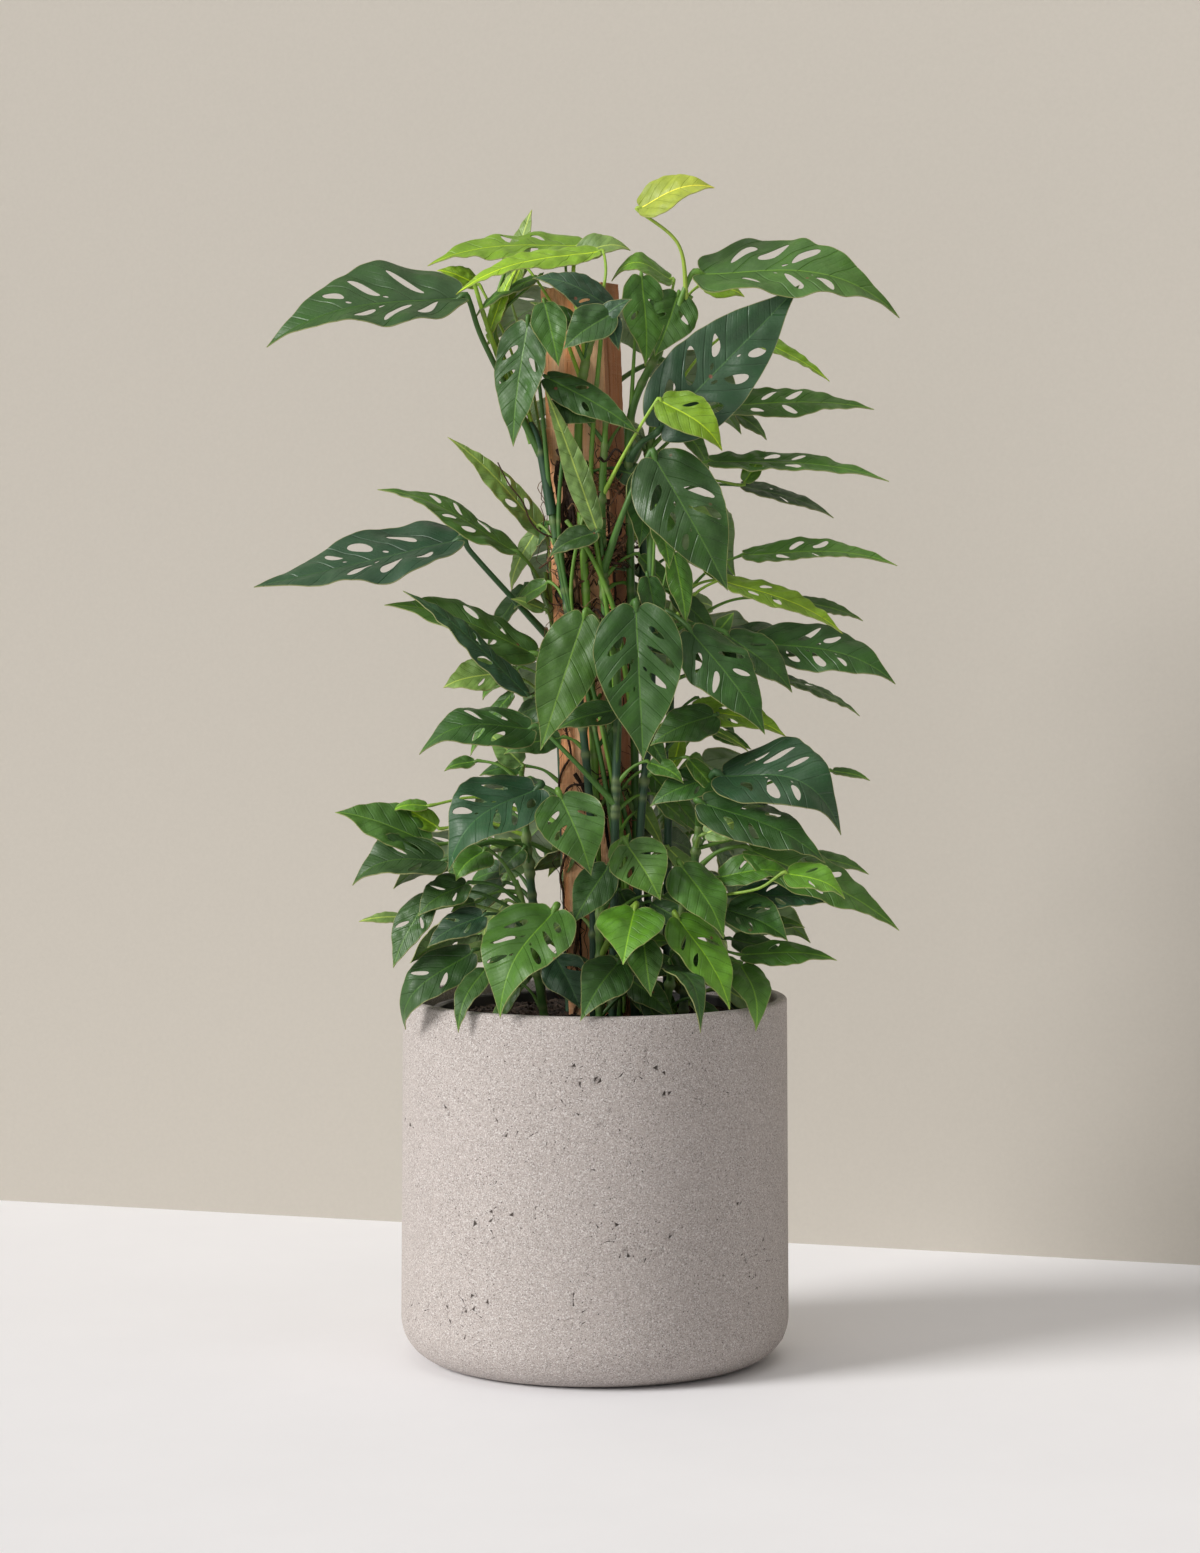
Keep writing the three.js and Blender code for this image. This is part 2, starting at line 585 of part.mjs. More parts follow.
// The stake: a turned, leaning post with a slightly sloping sawn top.
function stake(gap) {
  const post = new THREE.BoxGeometry(STAKE_WIDTH + 2 * gap, STAKE_DEPTH + 2 * gap, 1);
  post.rotateZ(STAKE_TURN);
  const position = post.attributes.position;
  for (let i = 0; i < position.count; i++) {
    const x = position.getX(i);
    const y = position.getY(i);
    const top = STAKE_TOP_Z + STAKE_TOP_SLOPE * (x / STAKE_WIDTH);
    const z = position.getZ(i) > 0 ? top : STAKE_FOOT_Z - gap;
    position.setXYZ(i, x + STAKE_X_AT_SOIL + STAKE_LEAN * (z - SOIL_TOP), y, z);
  }
  post.computeVertexNormals();
  return post;
}

function soil() {
  const foot = growPotFloor + GROW_POT_WALL + REST_GAP;
  const side = GROW_POT_WALL + REST_GAP * 2;
  let earth = toSolid(turned([
    [0, foot],
    [growPotRadius(foot) - side, foot],
    [growPotRadius(SOIL_TOP) - side, SOIL_TOP],
    [SOIL_CROWN_RADIUS, SOIL_TOP + SOIL_CROWN],
    [0, SOIL_TOP + SOIL_CROWN],
  ], GROW_POT_SIDES));
  earth = earth.subtract(toSolid(stake(REST_GAP)));
  for (const { route } of Object.values(VINES)) {
    earth = earth.subtract(toSolid(stem(route, SOIL_HOLE_GAP)));
  }
  return toGeometry(earth);
}

function stem(route, gap) {
  const [x, y, z] = route[0];
  const foot = [x, y, z - gap];
  return rod([foot, ...route.slice(1)], STEM_RADIUS + gap, STEM_SIDES, STEM_STEPS * (route.length - 1));
}

function vine({ route, look, leaves }) {
  let plant = toSolid(stem(route, 0));
  for (const row of leaves) {
    plant = plant.add(toSolid(leaf(row, look, route)));
  }
  return toGeometry(plant);
}

const model = new THREE.Group();

function addPart(name, geometry, material) {
  const mesh = new THREE.Mesh(geometry, material);
  mesh.name = name;
  model.add(mesh);
}

addPart("planter", planter(), colour(0xb3a69f, 0.9));
addPart("grow_pot", growPot(), colour(0x1b1b1b, 0.5));
addPart("soil", soil(), colour(0x2a211b, 1));
addPart("stake", stake(0), colour(0xaa7546, 0.85));
for (const [name, plant] of Object.entries(VINES)) {
  addPart(name, vine(plant), colour(plant.colour, 0.45));
}

export default model;
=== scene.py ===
"""A monstera adansonii climbing a rough-sawn timber stake. It stands in a black nursery pot
inside a fine-grit cylindrical planter. Lengths in the tables are millimetres; the meshes are
in metres, +Z up, with the front towards -Y."""

import math
import random

import bpy
import numpy as np
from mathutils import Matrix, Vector, noise
from mathutils.geometry import delaunay_2d_cdt


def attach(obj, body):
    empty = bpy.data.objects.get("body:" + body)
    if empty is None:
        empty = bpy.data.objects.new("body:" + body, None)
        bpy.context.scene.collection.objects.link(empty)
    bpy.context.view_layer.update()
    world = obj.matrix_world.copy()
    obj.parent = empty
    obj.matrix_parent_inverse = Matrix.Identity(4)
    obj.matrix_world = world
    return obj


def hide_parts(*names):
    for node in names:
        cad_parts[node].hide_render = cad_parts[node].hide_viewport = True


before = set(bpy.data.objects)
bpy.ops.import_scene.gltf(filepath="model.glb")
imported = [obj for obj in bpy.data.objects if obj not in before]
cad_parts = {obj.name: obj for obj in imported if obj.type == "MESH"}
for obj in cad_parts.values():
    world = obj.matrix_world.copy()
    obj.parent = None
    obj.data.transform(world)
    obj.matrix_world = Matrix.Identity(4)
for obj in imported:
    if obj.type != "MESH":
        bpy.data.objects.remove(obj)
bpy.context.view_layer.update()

# ---------------------------------------------------------------------------------------
# Planter: cast fibre-stone, straight sided with a small round at the lip and a large one
# at the foot. Its skin is fine salt-and-pepper grit with scattered air pits, left matt.
MM = 0.001
PLANTER_HEIGHT = 310
PLANTER_RIM_RADIUS = 164
PLANTER_FOOT_RADIUS = 166
PLANTER_WALL = 9.5
PLANTER_FLOOR = 24
FOOT_ROUND = 37
LIP_ROUND = 3
PLANTER_SIDES = 420
SKIN_STEP = 2.45
# Groups of pits: turn from the front, height, and how many.
PIT_GROUPS = [
    (-0.11, 253, 52), (0.26, 264, 44), (-0.33, 211, 48), (-0.56, 137, 52), (-0.71, 62, 60), (-1.25, 60, 48),
    (-1.25, 200, 32), (-1.2, 160, 32), (0.125, 117, 32), (-0.11, 69, 36), (0.92, 95, 48), (0.6, 240, 20),
    (0.29, 120, 20), (0.74, 150, 16), (0.05, 190, 18), (-0.85, 245, 20), (1.6, 210, 44), (1.9, 90, 48),
    (2.3, 160, 52), (2.7, 250, 40), (3.1, 110, 52), (3.6, 190, 48), (4.0, 60, 52), (4.3, 230, 40),
    (-1.8, 130, 44), (1.3, 40, 40)]
PIT_SPREAD = (0.095, 15)
LOOSE_PITS = 420
LOOSE_PIT_HEIGHTS = (20, 298)
PIT_SIZE = (0.45, 1.05)
PIT_SLIP = 0.7
PIT_SEED = 7
LOWEST_PIT_ROW = 12
LIP_CLEAR_ROWS = 3
GRIT_SCALE = 1500
PORE_SCALE = 340
STONE = (0.434, 0.386, 0.36)
STONE_GRAIN_DARK = (0.165, 0.147, 0.134)
STONE_GRAIN_LIGHT = (0.76, 0.735, 0.715)
PIT_SHADE = (0.06, 0.047, 0.04)


def srgb(red, green, blue):
    """A screen colour as the linear colour that a shader takes."""
    return tuple(((c / 255 + 0.055) / 1.055) ** 2.4 for c in (red, green, blue)) + (1,)


def turned(profile, sides):
    """Rings of points for a profile [radius, height] turned about the upright axis."""
    angle = np.linspace(0, 2 * np.pi, sides, endpoint=False)
    return np.array([np.stack([r * np.cos(angle), r * np.sin(angle), np.full(sides, z)], 1)
                     for r, z in profile])


def ring_faces(count, sides):
    """Quads that join rings of points, each ring to the next one."""
    steps = [(i, (i + 1) % sides) for i in range(sides)]
    return [(a + i, a + j, a + sides + j, a + sides + i)
            for a in range(0, (count - 1) * sides, sides) for i, j in steps]


def closed(rings):
    """Points and faces of a turned form: its rings joined, and both ends closed."""
    count, sides = rings.shape[:2]
    ends = [tuple(range(sides))[::-1], tuple(range((count - 1) * sides, count * sides))]
    return rings.reshape(-1, 3), ring_faces(count, sides) + ends


def rounded(centre, radius, start, end, steps):
    """Points [radius, height] on an arc of a profile, angles in degrees."""
    for angle in np.radians(np.linspace(start, end, steps)):
        yield centre[0] + radius * math.cos(angle), centre[1] + radius * math.sin(angle)


def make_piece(name, points, faces, slot, replaces, material, values=None, smooth=40):
    """A finished mesh at the origin that rides on the plant's one body."""
    mesh = bpy.data.meshes.new(name)
    mesh.from_pydata((np.asarray(points) * MM).tolist(), [], faces)
    for label, (kind, data) in (values or {}).items():
        attribute = mesh.attributes.new(label, kind, "POINT")
        field = {"FLOAT": "value", "FLOAT_VECTOR": "vector", "FLOAT_COLOR": "color"}[kind]
        attribute.data.foreach_set(field, np.asarray(data, dtype=np.float32).ravel())
    piece = bpy.data.objects.new(name, mesh)
    bpy.context.scene.collection.objects.link(piece)
    mesh.materials.append(material)
    mesh.polygons.foreach_set("use_smooth", [True] * len(mesh.polygons))
    mesh.set_sharp_from_angle(angle=math.radians(smooth))
    join_frame(piece, replaces)
    return piece


def join_frame(piece, replaces):
    """Puts a finished piece on the frame: its body and the node it stands for."""
    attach(piece, "root")
    if replaces:
        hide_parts(replaces)


def lay(tree, kind, values=None, **settings):
    """Adds a node to a tree, with its settings and the values of its sockets."""
    node = tree.nodes.new(kind)
    for key, value in settings.items():
        setattr(node, key, value)
    for key, value in (values or {}).items():
        node.inputs[key].default_value = value
    return node


def wire(tree, *pairs):
    """Links sockets, given as output and input by turns."""
    for out, into in zip(pairs[::2], pairs[1::2]):
        tree.links.new(out, into)


def chain(tree, *nodes):
    """Links the first output of each node to the first input of the next."""
    for node, following in zip(nodes, nodes[1:]):
        tree.links.new(node.outputs[0], following.inputs[0])


def new_tree(name, kind, inputs, outputs):
    """An empty node tree with named inputs and outputs, its two ends and its inputs' identifiers."""
    group = bpy.data.node_groups.new(name, kind)
    ids = {}
    for label, form, value in inputs:
        socket = group.interface.new_socket(label, in_out="INPUT", socket_type=form)
        if value is not None:
            socket.default_value = value
        ids[label] = socket.identifier
    for label, form in outputs:
        group.interface.new_socket(label, in_out="OUTPUT", socket_type=form)
    return group, group.nodes.new("NodeGroupInput"), group.nodes.new("NodeGroupOutput"), ids


def finish_base(name, roughness, **constants):
    """A material, its tree, its shader with constants set, and a place on the piece."""
    material = bpy.data.materials.new(name)
    material.use_nodes = True
    shader = material.node_tree.nodes["Principled BSDF"]
    shader.inputs["Roughness"].default_value = roughness
    for key, value in constants.items():
        shader.inputs[key.replace("_", " ")].default_value = value
    tree = material.node_tree
    return material, tree, shader, lay(tree, "ShaderNodeTexCoord").outputs["Object"]


def calculate(tree, how, first, second=None):
    """A Math node on sockets or numbers. Returns its result."""
    node = lay(tree, "ShaderNodeMath", operation=how)
    for index, value in enumerate((first, second)):
        if isinstance(value, bpy.types.NodeSocket):
            tree.links.new(value, node.inputs[index])
        elif value is not None:
            node.inputs[index].default_value = value
    return node.outputs[0]


def product(tree, first, second):
    """Two values, sockets or numbers, multiplied."""
    return calculate(tree, "MULTIPLY", first, second)


def blend_colour(tree, factor, first, second, how="MIX"):
    """A colour mix; colours are sockets or linear colours. Returns the result's socket."""
    mix = lay(tree, "ShaderNodeMix", data_type="RGBA", blend_type=how)
    for index, value in ((0, factor), (6, first), (7, second)):
        if isinstance(value, bpy.types.NodeSocket):
            tree.links.new(value, mix.inputs[index])
        else:
            mix.inputs[index].default_value = tuple(value)[:3] + (1,) if index else value
    return mix.outputs[2]


def times(tree, colour, factors):
    """A colour multiplied by a factor for each of red, green and blue."""
    return blend_colour(tree, 1.0, colour, factors, "MULTIPLY")


def ramp(tree, source, start, end):
    """A smooth 0 to 1 step of a value between two limits."""
    step = lay(tree, "ShaderNodeMapRange", {1: start, 2: end}, interpolation_type="SMOOTHSTEP")
    tree.links.new(source, step.inputs[0])
    return step.outputs[0]


def carried(tree, name, form="Fac"):
    """A value that the mesh carries at its points, as a socket."""
    return lay(tree, "ShaderNodeAttribute", attribute_name=name).outputs[form]


def cells(tree, place, scale):
    """Scattered cells: distance from their middles, and random shares that pick some of them."""
    spread = lay(tree, "ShaderNodeTexVoronoi", {"Scale": scale, "Randomness": 1})
    pick = lay(tree, "ShaderNodeSeparateColor")
    wire(tree, place, spread.inputs["Vector"], spread.outputs["Color"], pick.inputs[0])
    return spread.outputs["Distance"], pick.outputs


# Mottle: soft cloudy unevenness that every natural surface here has.
mottle, mottle_in, mottle_out, _ = new_tree(
    "mottle", "ShaderNodeTree",
    [("Place", "NodeSocketVector", None), ("Scale", "NodeSocketFloat", 20),
     ("From", "NodeSocketFloat", 0.35), ("To", "NodeSocketFloat", 0.65)],
    [("Mask", "NodeSocketFloat"), ("Height", "NodeSocketFloat")])
cloud = lay(mottle, "ShaderNodeTexNoise", {"Detail": 4, "Roughness": 0.6})
cloud_step = lay(mottle, "ShaderNodeMapRange")
chain(mottle, mottle_in, cloud, cloud_step, mottle_out)
wire(mottle, mottle_in.outputs["Scale"], cloud.inputs["Scale"],
     mottle_in.outputs["From"], cloud_step.inputs[1],
     mottle_in.outputs["To"], cloud_step.inputs[2],
     cloud.outputs[0], mottle_out.inputs["Height"])


def add_mottle(tree, place, scale, start=0.35, end=0.65):
    """Mottle placed in a material. Returns its mask and height sockets."""
    node = lay(tree, "ShaderNodeGroup", {"Scale": scale, "From": start, "To": end}, node_tree=mottle)
    tree.links.new(place, node.inputs["Place"])
    return node.outputs["Mask"], node.outputs["Height"]


def relief(tree, shader, height, distance, strength=1.0, under=None):
    """A bump from a height, on top of another one if given. Returns its normal."""
    bump = lay(tree, "ShaderNodeBump", {"Distance": distance, "Strength": strength})
    tree.links.new(height, bump.inputs["Height"])
    if under is not None:
        tree.links.new(under, bump.inputs["Normal"])
    tree.links.new(bump.outputs[0], shader.inputs["Normal"])
    return bump.outputs[0]


grit_stone, tree, shader, place = finish_base("grit_stone", 0.86)
grain_distance, grain_pick = cells(tree, place, GRIT_SCALE)
clouds, _ = add_mottle(tree, place, 14, 0.3, 0.7)
fine, fine_height = add_mottle(tree, place, 620, 0.32, 0.68)
tint = blend_colour(tree, clouds, STONE, [c * 1.07 for c in STONE])
tint = blend_colour(tree, ramp(tree, grain_pick[0], 0.78, 0.84), tint, STONE_GRAIN_LIGHT)
tint = blend_colour(tree, ramp(tree, grain_pick[1], 0.8, 0.88), tint, STONE_GRAIN_DARK)
fine_tint = blend_colour(tree, fine, [c * 0.8 for c in STONE], [c * 1.15 for c in STONE])
tint = blend_colour(tree, 0.35, tint, fine_tint)
# Pores, which have no hollow in the mesh, and the sunk pits are darkened: painted shade in the hollows.
pore_distance, pore_pick = cells(tree, place, PORE_SCALE)
clumps, _ = add_mottle(tree, place, 24, 0.46, 0.58)
pore_shade = product(tree, ramp(tree, pore_distance, 0.24, 0.14), ramp(tree, pore_pick[0], 0.7, 0.74))
tint = blend_colour(tree, product(tree, pore_shade, clumps), tint, PIT_SHADE)
tint = blend_colour(tree, ramp(tree, carried(tree, "pit"), 0.15, 0.55), tint, PIT_SHADE)
tree.links.new(tint, shader.inputs["Base Color"])
first = relief(tree, shader, fine_height, 0.0007, 0.6)
relief(tree, shader, grain_distance, 0.0004, 0.5, first)

inner = PLANTER_RIM_RADIUS - PLANTER_WALL
foot_flat = PLANTER_FOOT_RADIUS - FOOT_ROUND
skin_height = PLANTER_HEIGHT - LIP_ROUND - FOOT_ROUND
lip_z = PLANTER_HEIGHT - LIP_ROUND
planter_profile = [(r, 0) for r in np.linspace(4, foot_flat, 5)]
planter_profile += [*rounded((foot_flat, FOOT_ROUND), FOOT_ROUND, -90, 0, 25)][1:]
planter_profile += [(PLANTER_FOOT_RADIUS + (PLANTER_RIM_RADIUS - PLANTER_FOOT_RADIUS) * share,
                     FOOT_ROUND + skin_height * share)
                    for share in np.linspace(0, 1, int(skin_height / SKIN_STEP))[1:]]
skin_end = len(planter_profile)
planter_profile += [*rounded((PLANTER_RIM_RADIUS - LIP_ROUND, lip_z), LIP_ROUND, 0, 90, 6)][1:]
planter_profile += rounded((inner + LIP_ROUND, lip_z), LIP_ROUND, 90, 180, 6)
planter_profile += [(inner, z) for z in np.linspace(lip_z, PLANTER_FLOOR + 8, 5)[1:]]
planter_profile += [(inner - 2, PLANTER_FLOOR + 2), (inner - 8, PLANTER_FLOOR)]
planter_profile += [(r, PLANTER_FLOOR) for r in np.linspace(inner - 20, 4, 4)]
rings = turned(planter_profile, PLANTER_SIDES)
pits = np.zeros(rings.shape[:2])
draw = random.Random(PIT_SEED)
pit_places = [(a + draw.gauss(0, PIT_SPREAD[0]), z + draw.gauss(0, PIT_SPREAD[1]))
              for a, z, many in PIT_GROUPS for _ in range(many)]
pit_places += [(draw.uniform(-math.pi, math.pi), draw.uniform(*LOOSE_PIT_HEIGHTS)) for _ in range(LOOSE_PITS)]
# A pit draws the eight points round one point to its edge, and sinks that point.
heights = rings[:, 0, 2]
for turn_from_front, height in pit_places:
    size = draw.uniform(*PIT_SIZE) ** 2 / PIT_SIZE[1]
    slip = [draw.uniform(-PIT_SLIP, PIT_SLIP) for _ in range(2)]
    angle = turn_from_front - math.pi / 2
    column = round(angle / (2 * math.pi) * PLANTER_SIDES) % PLANTER_SIDES
    row = int(np.argmin(np.abs(heights[:skin_end] - height)))
    beside = [column - 1, column, (column + 1) % PLANTER_SIDES]
    if not LOWEST_PIT_ROW <= row < skin_end - LIP_CLEAR_ROWS or pits[row - 1:row + 2, beside].any():
        continue
    seat = rings[row, column].copy()
    outward = np.array([seat[0], seat[1], 0]) / math.hypot(seat[0], seat[1])
    sideways = np.array([-outward[1], outward[0], 0])
    seat += sideways * slip[0] + np.array([0, 0, slip[1]])
    squash = draw.uniform(0.6, 1)
    for dr in (-1, 0, 1):
        for dc in (-1, 0, 1):
            spot = (row + dr, (column + dc) % PLANTER_SIDES)
            if dr or dc:
                reach = size / math.hypot(dr, dc)
                rings[spot] = seat + sideways * dc * reach + np.array([0, 0, dr * reach * squash])
            else:
                rings[spot] = seat - outward * size * draw.uniform(0.8, 1.3)
                pits[spot] = 1
make_piece("planter_shell", *closed(rings), "grit_planter", "planter", grit_stone, {"pit": ("FLOAT", pits)})

# ---------------------------------------------------------------------------------------
# Nursery pot: thin black polypropylene, tapered, with a rolled rim and four drain holes.
# It stands loose on the planter's floor, so only its rim shows above the potting mix.
REST_GAP = 0.3
GROW_POT_FLOOR = PLANTER_FLOOR + REST_GAP
GROW_POT_TOP = 301
GROW_POT_RIM_RADIUS = 139
GROW_POT_FOOT_RADIUS = 120
GROW_POT_WALL = 2
GROW_POT_RIM_WIDTH = 5
GROW_POT_RIM_DROP = 12
GROW_POT_SIDES = 128
DRAIN_HOLES = 4
DRAIN_RADIUS = 7
DRAIN_CIRCLE = 80
DRILL_LENGTH = 20


def grow_pot_radius(z):
    """Outer radius of the nursery pot's wall at a height."""
    share = (z - GROW_POT_FLOOR) / (GROW_POT_TOP - GROW_POT_FLOOR)
    top = GROW_POT_RIM_RADIUS - GROW_POT_RIM_WIDTH
    return GROW_POT_FOOT_RADIUS + (top - GROW_POT_FOOT_RADIUS) * share


def settle(piece):
    """Turns what an object's modifiers make into its own plain mesh."""
    made = bpy.data.meshes.new_from_object(piece.evaluated_get(bpy.context.evaluated_depsgraph_get()))
    piece.modifiers.clear()
    piece.data = made


black_plastic, tree, shader, place = finish_base("black_plastic", 0.42, Specular_IOR_Level=0.4)
dust, dust_height = add_mottle(tree, place, 60, 0.4, 0.75)
sheen = lay(tree, "ShaderNodeMapRange", {3: 0.36, 4: 0.62})
wire(tree, blend_colour(tree, dust, (0.012, 0.012, 0.012), (0.04, 0.036, 0.03)), shader.inputs["Base Color"],
     dust, sheen.inputs[0], sheen.outputs[0], shader.inputs["Roughness"])
relief(tree, shader, dust_height, 0.0003, 0.4)

skirt = GROW_POT_TOP - GROW_POT_RIM_DROP
rim_inside = grow_pot_radius(GROW_POT_TOP) - GROW_POT_WALL
pot_profile = [(6, GROW_POT_FLOOR), (GROW_POT_FOOT_RADIUS - 3, GROW_POT_FLOOR),
               (GROW_POT_FOOT_RADIUS, GROW_POT_FLOOR + 3)]
pot_profile += [(grow_pot_radius(z), z) for z in np.linspace(40, skirt, 8)]
pot_profile += [(GROW_POT_RIM_RADIUS - 1, skirt), (GROW_POT_RIM_RADIUS, skirt + 1.2)]
pot_profile += rounded((GROW_POT_RIM_RADIUS - 2, GROW_POT_TOP - 2), 2, 0, 90, 5)
pot_profile += [(rim_inside + 1.4, GROW_POT_TOP), (rim_inside, GROW_POT_TOP - 1.4)]
pot_profile += [(grow_pot_radius(z) - GROW_POT_WALL, z) for z in np.linspace(skirt, 40, 8)]
pot_profile += [(GROW_POT_FOOT_RADIUS - GROW_POT_WALL - 2, GROW_POT_FLOOR + GROW_POT_WALL),
                (6, GROW_POT_FLOOR + GROW_POT_WALL)]
nursery = make_piece("nursery_pot", *closed(turned(pot_profile, GROW_POT_SIDES)), "nursery_pot", "grow_pot",
                     black_plastic)
drills = []
for k in range(DRAIN_HOLES):
    angle = 2 * math.pi * k / DRAIN_HOLES
    bpy.ops.mesh.primitive_cylinder_add(
        vertices=24, radius=DRAIN_RADIUS * MM, depth=DRILL_LENGTH * MM, location=[
            DRAIN_CIRCLE * MM * math.cos(angle), DRAIN_CIRCLE * MM * math.sin(angle), GROW_POT_FLOOR * MM])
    drills.append(bpy.context.object)
    cut = nursery.modifiers.new("drain", "BOOLEAN")
    cut.object, cut.solver = drills[-1], "EXACT"
settle(nursery)
for drill in drills:
    bpy.data.objects.remove(drill)

# ---------------------------------------------------------------------------------------
# Potting mix: dark peat and composted bark, a little crowned, with loose bark chips and
# crumbs lying on it. It fills the nursery pot to just under its rim.
SOIL_TOP = 291
SOIL_CROWN = 3
SOIL_CROWN_RADIUS = 70
SOIL_SIDES = 220
SOIL_TOP_ROWS = 56
SOIL_MIDDLE = 3
LUMP_FADE = 6
SOIL_LUMPS = ((26, 2.6), (9, 1.5), (3.6, 0.8))
CHIP_COUNT = 2600
CHIP_SEED = 5
CHIP_SHAPES = [(9, 5, 1.8), (6, 4, 2.2), (12, 4, 1.5), (3, 2.4, 1.6), (2, 1.8, 1.4)]
FLAKE_LENGTH = 4
SOIL_DARK = (0.009, 0.007, 0.006, 1)
SOIL_BROWN = (0.028, 0.02, 0.015, 1)
BARK_RED = (0.062, 0.04, 0.027, 1)

peat, tree, shader, place = finish_base("peat", 0.95, Specular_IOR_Level=0.25)
damp, damp_height = add_mottle(tree, place, 160, 0.4, 0.7)
tree.links.new(blend_colour(tree, damp, SOIL_DARK, SOIL_BROWN), shader.inputs["Base Color"])
relief(tree, shader, damp_height, 0.003)

bark, tree, shader, place = finish_base("bark_chip", 0.88, Specular_IOR_Level=0.3)
fibre, fibre_height = add_mottle(tree, place, 520, 0.35, 0.65)
tint = blend_colour(tree, carried(tree, "shade"), SOIL_DARK, BARK_RED)
tree.links.new(blend_colour(tree, fibre, tint, SOIL_BROWN), shader.inputs["Base Color"])
relief(tree, shader, fibre_height, 0.0012)

soil_side = GROW_POT_WALL + 2 * REST_GAP
soil_foot = GROW_POT_FLOOR + GROW_POT_WALL + REST_GAP
edge = grow_pot_radius(SOIL_TOP) - soil_side
soil_profile = [(5, soil_foot), (grow_pot_radius(soil_foot) - soil_side - 1, soil_foot)]
soil_profile += [(grow_pot_radius(z) - soil_side, z) for z in np.linspace(soil_foot + 2, SOIL_TOP - 4, 10)]
first_top = len(soil_profile)
soil_profile += [(r, SOIL_TOP + SOIL_CROWN * min(1, (edge - r) / (edge - SOIL_CROWN_RADIUS)))
                 for r in np.linspace(edge, SOIL_MIDDLE, SOIL_TOP_ROWS)]
rings = turned(soil_profile, SOIL_SIDES)
for point in rings[first_top:].reshape(-1, 3):
    fade = min(1, (edge - math.hypot(point[0], point[1])) / LUMP_FADE)
    for size, depth in SOIL_LUMPS:
        point[2] += fade * depth * noise.noise(Vector(point) / size)
make_piece("potting_mix", *closed(rings), "potting_mix", "soil", peat, smooth=80)


def shape_tree(name, inputs):
    """A Geometry Nodes tree with a geometry in and out and named inputs for its sizes."""
    shape = ("Geometry", "NodeSocketGeometry")
    return new_tree(name, "GeometryNodeTree", [(*shape, None), *inputs], [shape])


def grown(name, base, group, ids, values):
    """Runs a Geometry Nodes tree on a base mesh and keeps the result as a plain object."""
    start = bpy.data.objects.new(name, base)
    bpy.context.scene.collection.objects.link(start)
    modifier = start.modifiers.new("grow", "NODES")
    modifier.node_group = group
    for label, value in values.items():
        modifier[ids[label]] = value
    settle(start)
    start.data.name = name
    return start


# The chips are split pieces of bark: a few flakes and lumps with broken edges.
chip_shapes = bpy.data.collections.new("chip_shapes")
draw = random.Random(11)
for k, (long, wide, thick) in enumerate(CHIP_SHAPES):
    bpy.ops.mesh.primitive_cube_add(size=1)
    chip = bpy.context.object
    chip.name = f"chip_shape_{k}"
    cutter = chip.modifiers.new("split", "SUBSURF")
    cutter.subdivision_type = "SIMPLE"
    cutter.levels = cutter.render_levels = int(long > FLAKE_LENGTH)
    settle(chip)
    for vertex in chip.data.vertices:
        x, y, z = vertex.co
        pull = 1 - 0.55 * abs(x * y) * 4
        vertex.co = (x * long * MM * pull * draw.uniform(0.85, 1.15),
                     y * wide * MM * pull * draw.uniform(0.75, 1.2),
                     z * thick * MM * draw.uniform(0.7, 1.25))
    for owner in list(chip.users_collection):
        owner.objects.unlink(chip)
    chip_shapes.objects.link(chip)

# The base mesh has one point for each chip; the tree lays a chip on each and turns it.
group, into, out, ids = shape_tree("lay_chips", [
    ("Seed", "NodeSocketInt", CHIP_SEED),
    ("Smallest", "NodeSocketFloat", 0.35), ("Largest", "NodeSocketFloat", 1.25)])
pick_shapes = lay(group, "GeometryNodeCollectionInfo", {"Collection": chip_shapes, "Separate Children": True})
lay_on = lay(group, "GeometryNodeInstanceOnPoints", {"Pick Instance": True})
which = lay(group, "FunctionNodeRandomValue", {4: 0, 5: len(CHIP_SHAPES) - 1}, data_type="INT")
spin = lay(group, "FunctionNodeRandomValue", {0: (-0.5, -0.5, 0), 1: (0.5, 0.5, 6.28)},
           data_type="FLOAT_VECTOR")
to_turn = lay(group, "FunctionNodeEulerToRotation")
size = lay(group, "FunctionNodeRandomValue", data_type="FLOAT")
tone = lay(group, "FunctionNodeRandomValue", {2: 0, 3: 1}, data_type="FLOAT")
keep_tone = lay(group, "GeometryNodeStoreNamedAttribute", {"Name": "shade"},
                data_type="FLOAT", domain="INSTANCE")
real = lay(group, "GeometryNodeRealizeInstances")
coat = lay(group, "GeometryNodeSetMaterial", {"Material": bark})
for random_value in (which, spin, size, tone):
    group.links.new(into.outputs["Seed"], random_value.inputs["Seed"])
chain(group, into, lay_on, keep_tone, real, coat, out)
wire(group, pick_shapes.outputs[0], lay_on.inputs["Instance"],
     which.outputs[2], lay_on.inputs["Instance Index"],
     spin.outputs[0], to_turn.inputs[0],
     to_turn.outputs[0], lay_on.inputs["Rotation"],
     into.outputs["Smallest"], size.inputs[2],
     into.outputs["Largest"], size.inputs[3],
     size.outputs[1], lay_on.inputs["Scale"],
     tone.outputs[1], keep_tone.inputs["Value"])
seats = []
for _ in range(CHIP_COUNT):
    r, a = (edge - 5) * math.sqrt(draw.random()), draw.uniform(0, 2 * math.pi)
    inward = round((edge - r) / (edge - SOIL_MIDDLE) * (SOIL_TOP_ROWS - 1))
    row = min(len(rings) - 1, first_top + inward)
    column = int(a / (2 * math.pi) * SOIL_SIDES) % SOIL_SIDES
    x, y, z = rings[row, column]
    seats.append((x, y, z + draw.uniform(-0.4, 1.2)))
base = bpy.data.meshes.new("chip_seats")
base.from_pydata((np.array(seats) * MM).tolist(), [], [])
